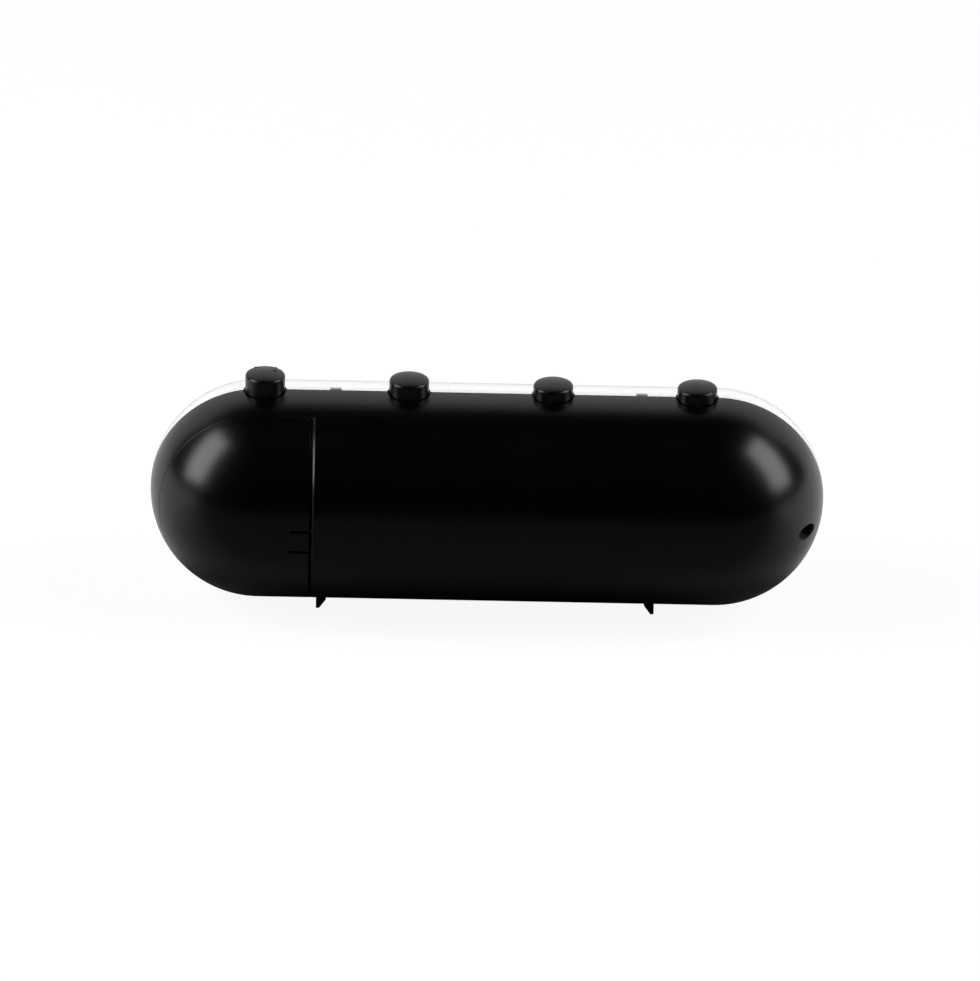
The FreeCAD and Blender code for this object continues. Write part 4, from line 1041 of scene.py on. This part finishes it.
class CLOCK_OT_stage(bpy.types.Operator):
    """Make the floor, backdrop, lamps and camera"""

    bl_idname = "clock.stage"
    bl_label = "Stage"
    DIM = 0.012  # the world's light on the clock; the camera sees it white
    SWEEP = {"half": 20.0, "start": 8.0, "length": 18.0, "bend": 3.0, "wall": 21.0}
    BRIGHT = {"seen": 0.92, "through": 0.72, "mirrored": 0.7}  # the sweep's glow for three kinds of ray
    RISE = 25.5  # degrees of the camera over the floor
    ROLL = 1.12  # degrees
    AWAY = 12.0  # metres of the camera from the clock
    WIDTH = 0.2931  # metres across the picture
    SHIFT = (3.0, 1.5)  # where the camera aims off the clock's middle, in the photograph's pixels
    PIXELS = 980

    def execute(self, context):
        look = context.scene.clock_finishes
        self.world()
        self.floor(look)
        size = (0.56, 1.02)
        self.lamp("left_softbox", (1.07, 0.14, 0.71), size, lean=12, power=8.8)
        self.lamp("right_softbox", (-1.05, 0.07, 0.75), size, lean=-12, power=7.6)
        self.camera()
        return {"FINISHED"}

    def world(self):
        """White where the camera looks past the floor, and a weak even light elsewhere."""
        world = bpy.data.worlds.new("studio")
        bpy.context.scene.world = world
        world.use_nodes = True
        tree = world.node_tree
        back = tree.nodes["Background"]
        path = tree.nodes.new("ShaderNodeLightPath")
        seen = Wire(tree, path.outputs["Is Camera Ray"])
        clear = Wire(tree, path.outputs["Is Transmission Ray"])
        level = self.DIM + (1.0 - self.DIM) * seen + (1.0 - self.DIM) * clear
        tree.links.new(level.socket, back.inputs["Strength"])

    def floor(self, look):
        """A pale sweep: a floor that curves up on the display's side, and glows there in gloss."""
        sizes = self.SWEEP
        bm = bmesh.new()
        half = sizes["half"]
        left = bm.verts.new((-half, sizes["start"], 0))
        near = draw_line(bm, left, (0, -sizes["length"], 0))
        middle = (-half, sizes["start"] - sizes["length"], sizes["bend"])
        top = draw_arc(bm, near, middle, -math.pi / 2, 32, (1, 0, 0))
        draw_line(bm, top, (0, 0, sizes["wall"]))
        wide = bmesh.ops.extrude_edge_only(bm, edges=bm.edges[:])
        bmesh.ops.translate(bm, vec=(2 * half, 0, 0), verts=verts_of(wide["geom"]))
        bmesh.ops.recalc_face_normals(bm, faces=bm.faces)
        sweep = piece_from("floor_sweep", bm)
        smooth_by_angle(sweep)
        finish = Finish("pale_floor")
        base = finish.node("ShaderNodeBsdfDiffuse", Color=rgba(look.floor))
        seen = finish.node("ShaderNodeLightPath", output="Is Camera Ray")
        mirrored = finish.node("ShaderNodeLightPath", output="Is Glossy Ray")
        through = finish.node("ShaderNodeLightPath", output="Is Transmission Ray")
        level = seen * self.BRIGHT["seen"] + through * self.BRIGHT["through"]
        # the glow in gloss carries a painted contact shadow round the clock
        level = level + mirrored * self.gloss(finish) * self.BRIGHT["mirrored"]
        glow = finish.node("ShaderNodeEmission", Color=rgba([1.0] * 3), Strength=level)
        total = finish.tree.nodes.new("ShaderNodeAddShader")
        finish.tree.links.new(base.socket, total.inputs[0])
        finish.tree.links.new(glow.socket, total.inputs[1])
        finish.tree.links.new(total.outputs[0], finish.out.inputs["Surface"])
        sweep.data.materials.append(FINISHES["pale_floor"])

    def gloss(self, finish):
        """How much of the sweep's glow shows in gloss: none on its rear side or high up, and none beside the clock,
        where a painted contact shadow takes it away.
        """
        across = finish.axis("Y")
        aside = finish.node("ShaderNodeMath", {"operation": "ABSOLUTE"}, Value=finish.axis("X"))
        beyond = (aside - CASE_HALF).sum_with(0.0, "MAXIMUM")
        gap = finish.node("ShaderNodeMath", {"operation": "SQRT"}, Value=beyond * beyond + across * across)
        narrowing = 0.45
        front = self.ramp(finish, across - aside * narrowing, 0.03, -0.12)
        low = self.ramp(finish, finish.axis("Z"), 22.7, 12.3)
        # painted contact shadow: the glow seen in gloss is nothing within 22 mm of the clock's spine in plan and full
        # from 42 mm on
        clear = self.ramp(finish, gap, 0.022, 0.042)
        return front * low * clear

    def ramp(self, finish, value, zero, one):
        """A smooth step of a value: 0 where it is zero and 1 where it is one."""
        low, high = sorted((zero, one))
        rising = float(zero < one)
        settings = {"interpolation_type": "SMOOTHSTEP"}
        ends = {"From_Min": low, "From_Max": high, "To_Min": 1.0 - rising, "To_Max": rising}
        return finish.node("ShaderNodeMapRange", settings, output="Result", Value=value, **ends)

    def lamp(self, name, place, size, lean, power):
        """A soft rectangular lamp that faces the clock and leans by some degrees."""
        data = bpy.data.lights.new(name, "AREA")
        data.shape = "RECTANGLE"
        data.size = size[0]
        data.size_y = size[1]
        data.energy = power
        lamp = bpy.data.objects.new(name, data)
        bpy.context.scene.collection.objects.link(lamp)
        lamp.location = place
        facing = (Vector((0, 0, AXIS_Z)) - Vector(place)).to_track_quat("-Z", "Y")
        lamp.rotation_mode = "QUATERNION"
        lamp.rotation_quaternion = facing @ Quaternion((0, 0, 1), math.radians(lean))

    def camera(self):
        """The photograph's view: from behind and above, with a slight roll."""
        rise = math.radians(self.RISE)
        pixel = self.WIDTH / self.PIXELS
        view = Vector((0, math.cos(rise), math.sin(rise)))
        right = Vector((-1, 0, 0))
        up = Vector((0, -math.sin(rise), math.cos(rise)))
        target = Vector((0, 0, AXIS_Z)) + right * (self.SHIFT[0] * pixel) + up * (self.SHIFT[1] * pixel)
        data = bpy.data.cameras.new("camera")
        data.sensor_width = 36.0
        data.lens = data.sensor_width * self.AWAY / self.WIDTH
        data.clip_end = 60.0
        camera = bpy.data.objects.new("camera", data)
        bpy.context.scene.collection.objects.link(camera)
        camera.location = target + view * self.AWAY
        roll = Quaternion((0, 0, 1), math.radians(self.ROLL))
        camera.rotation_mode = "QUATERNION"
        camera.rotation_quaternion = (-view).to_track_quat("-Z", "Y") @ roll
        bpy.context.scene.camera = camera
        bpy.context.scene.view_settings.view_transform = "Standard"


class CLOCK_PT_sidebar(bpy.types.Panel):
    """Lists the clock's sizes and pieces"""

    bl_idname = "CLOCK_PT_sidebar"
    bl_label = "Capsule clock"
    bl_space_type = "VIEW_3D"
    bl_region_type = "UI"
    bl_category = "Clock"

    def draw(self, context):
        scene = context.scene
        for group in (scene.clock_case, scene.clock_buttons, scene.clock_display, scene.clock_finishes):
            box = self.layout.box()
            for key in group.__annotations__:
                box.prop(group, key)
        for operator in OPERATORS:
            self.layout.operator(operator.bl_idname)


OPERATORS = (
    CLOCK_OT_finishes,
    CLOCK_OT_rear_case,
    CLOCK_OT_front_lens,
    CLOCK_OT_battery_door,
    CLOCK_OT_push_buttons,
    CLOCK_OT_display,
    CLOCK_OT_inner_parts,
    CLOCK_OT_stage,
)
CLASSES = (ClockCaseSizes, ClockButtonSizes, ClockDisplaySizes, ClockFinishes) + OPERATORS + (CLOCK_PT_sidebar,)


def register():
    for cls in CLASSES:
        bpy.utils.register_class(cls)
    bpy.types.Scene.clock_case = PointerProperty(type=ClockCaseSizes)
    bpy.types.Scene.clock_buttons = PointerProperty(type=ClockButtonSizes)
    bpy.types.Scene.clock_display = PointerProperty(type=ClockDisplaySizes)
    bpy.types.Scene.clock_finishes = PointerProperty(type=ClockFinishes)


def unregister():
    for name in ("clock_case", "clock_buttons", "clock_display", "clock_finishes"):
        delattr(bpy.types.Scene, name)
    for cls in reversed(CLASSES):
        bpy.utils.unregister_class(cls)


def main():
    register()
    bpy.ops.clock.finishes()
    bpy.ops.clock.rear_case()
    bpy.ops.clock.front_lens()
    bpy.ops.clock.battery_door()
    bpy.ops.clock.push_buttons()
    bpy.ops.clock.display()
    bpy.ops.clock.inner_parts()
    bpy.ops.clock.stage()


if __name__ == "__main__":
    main()
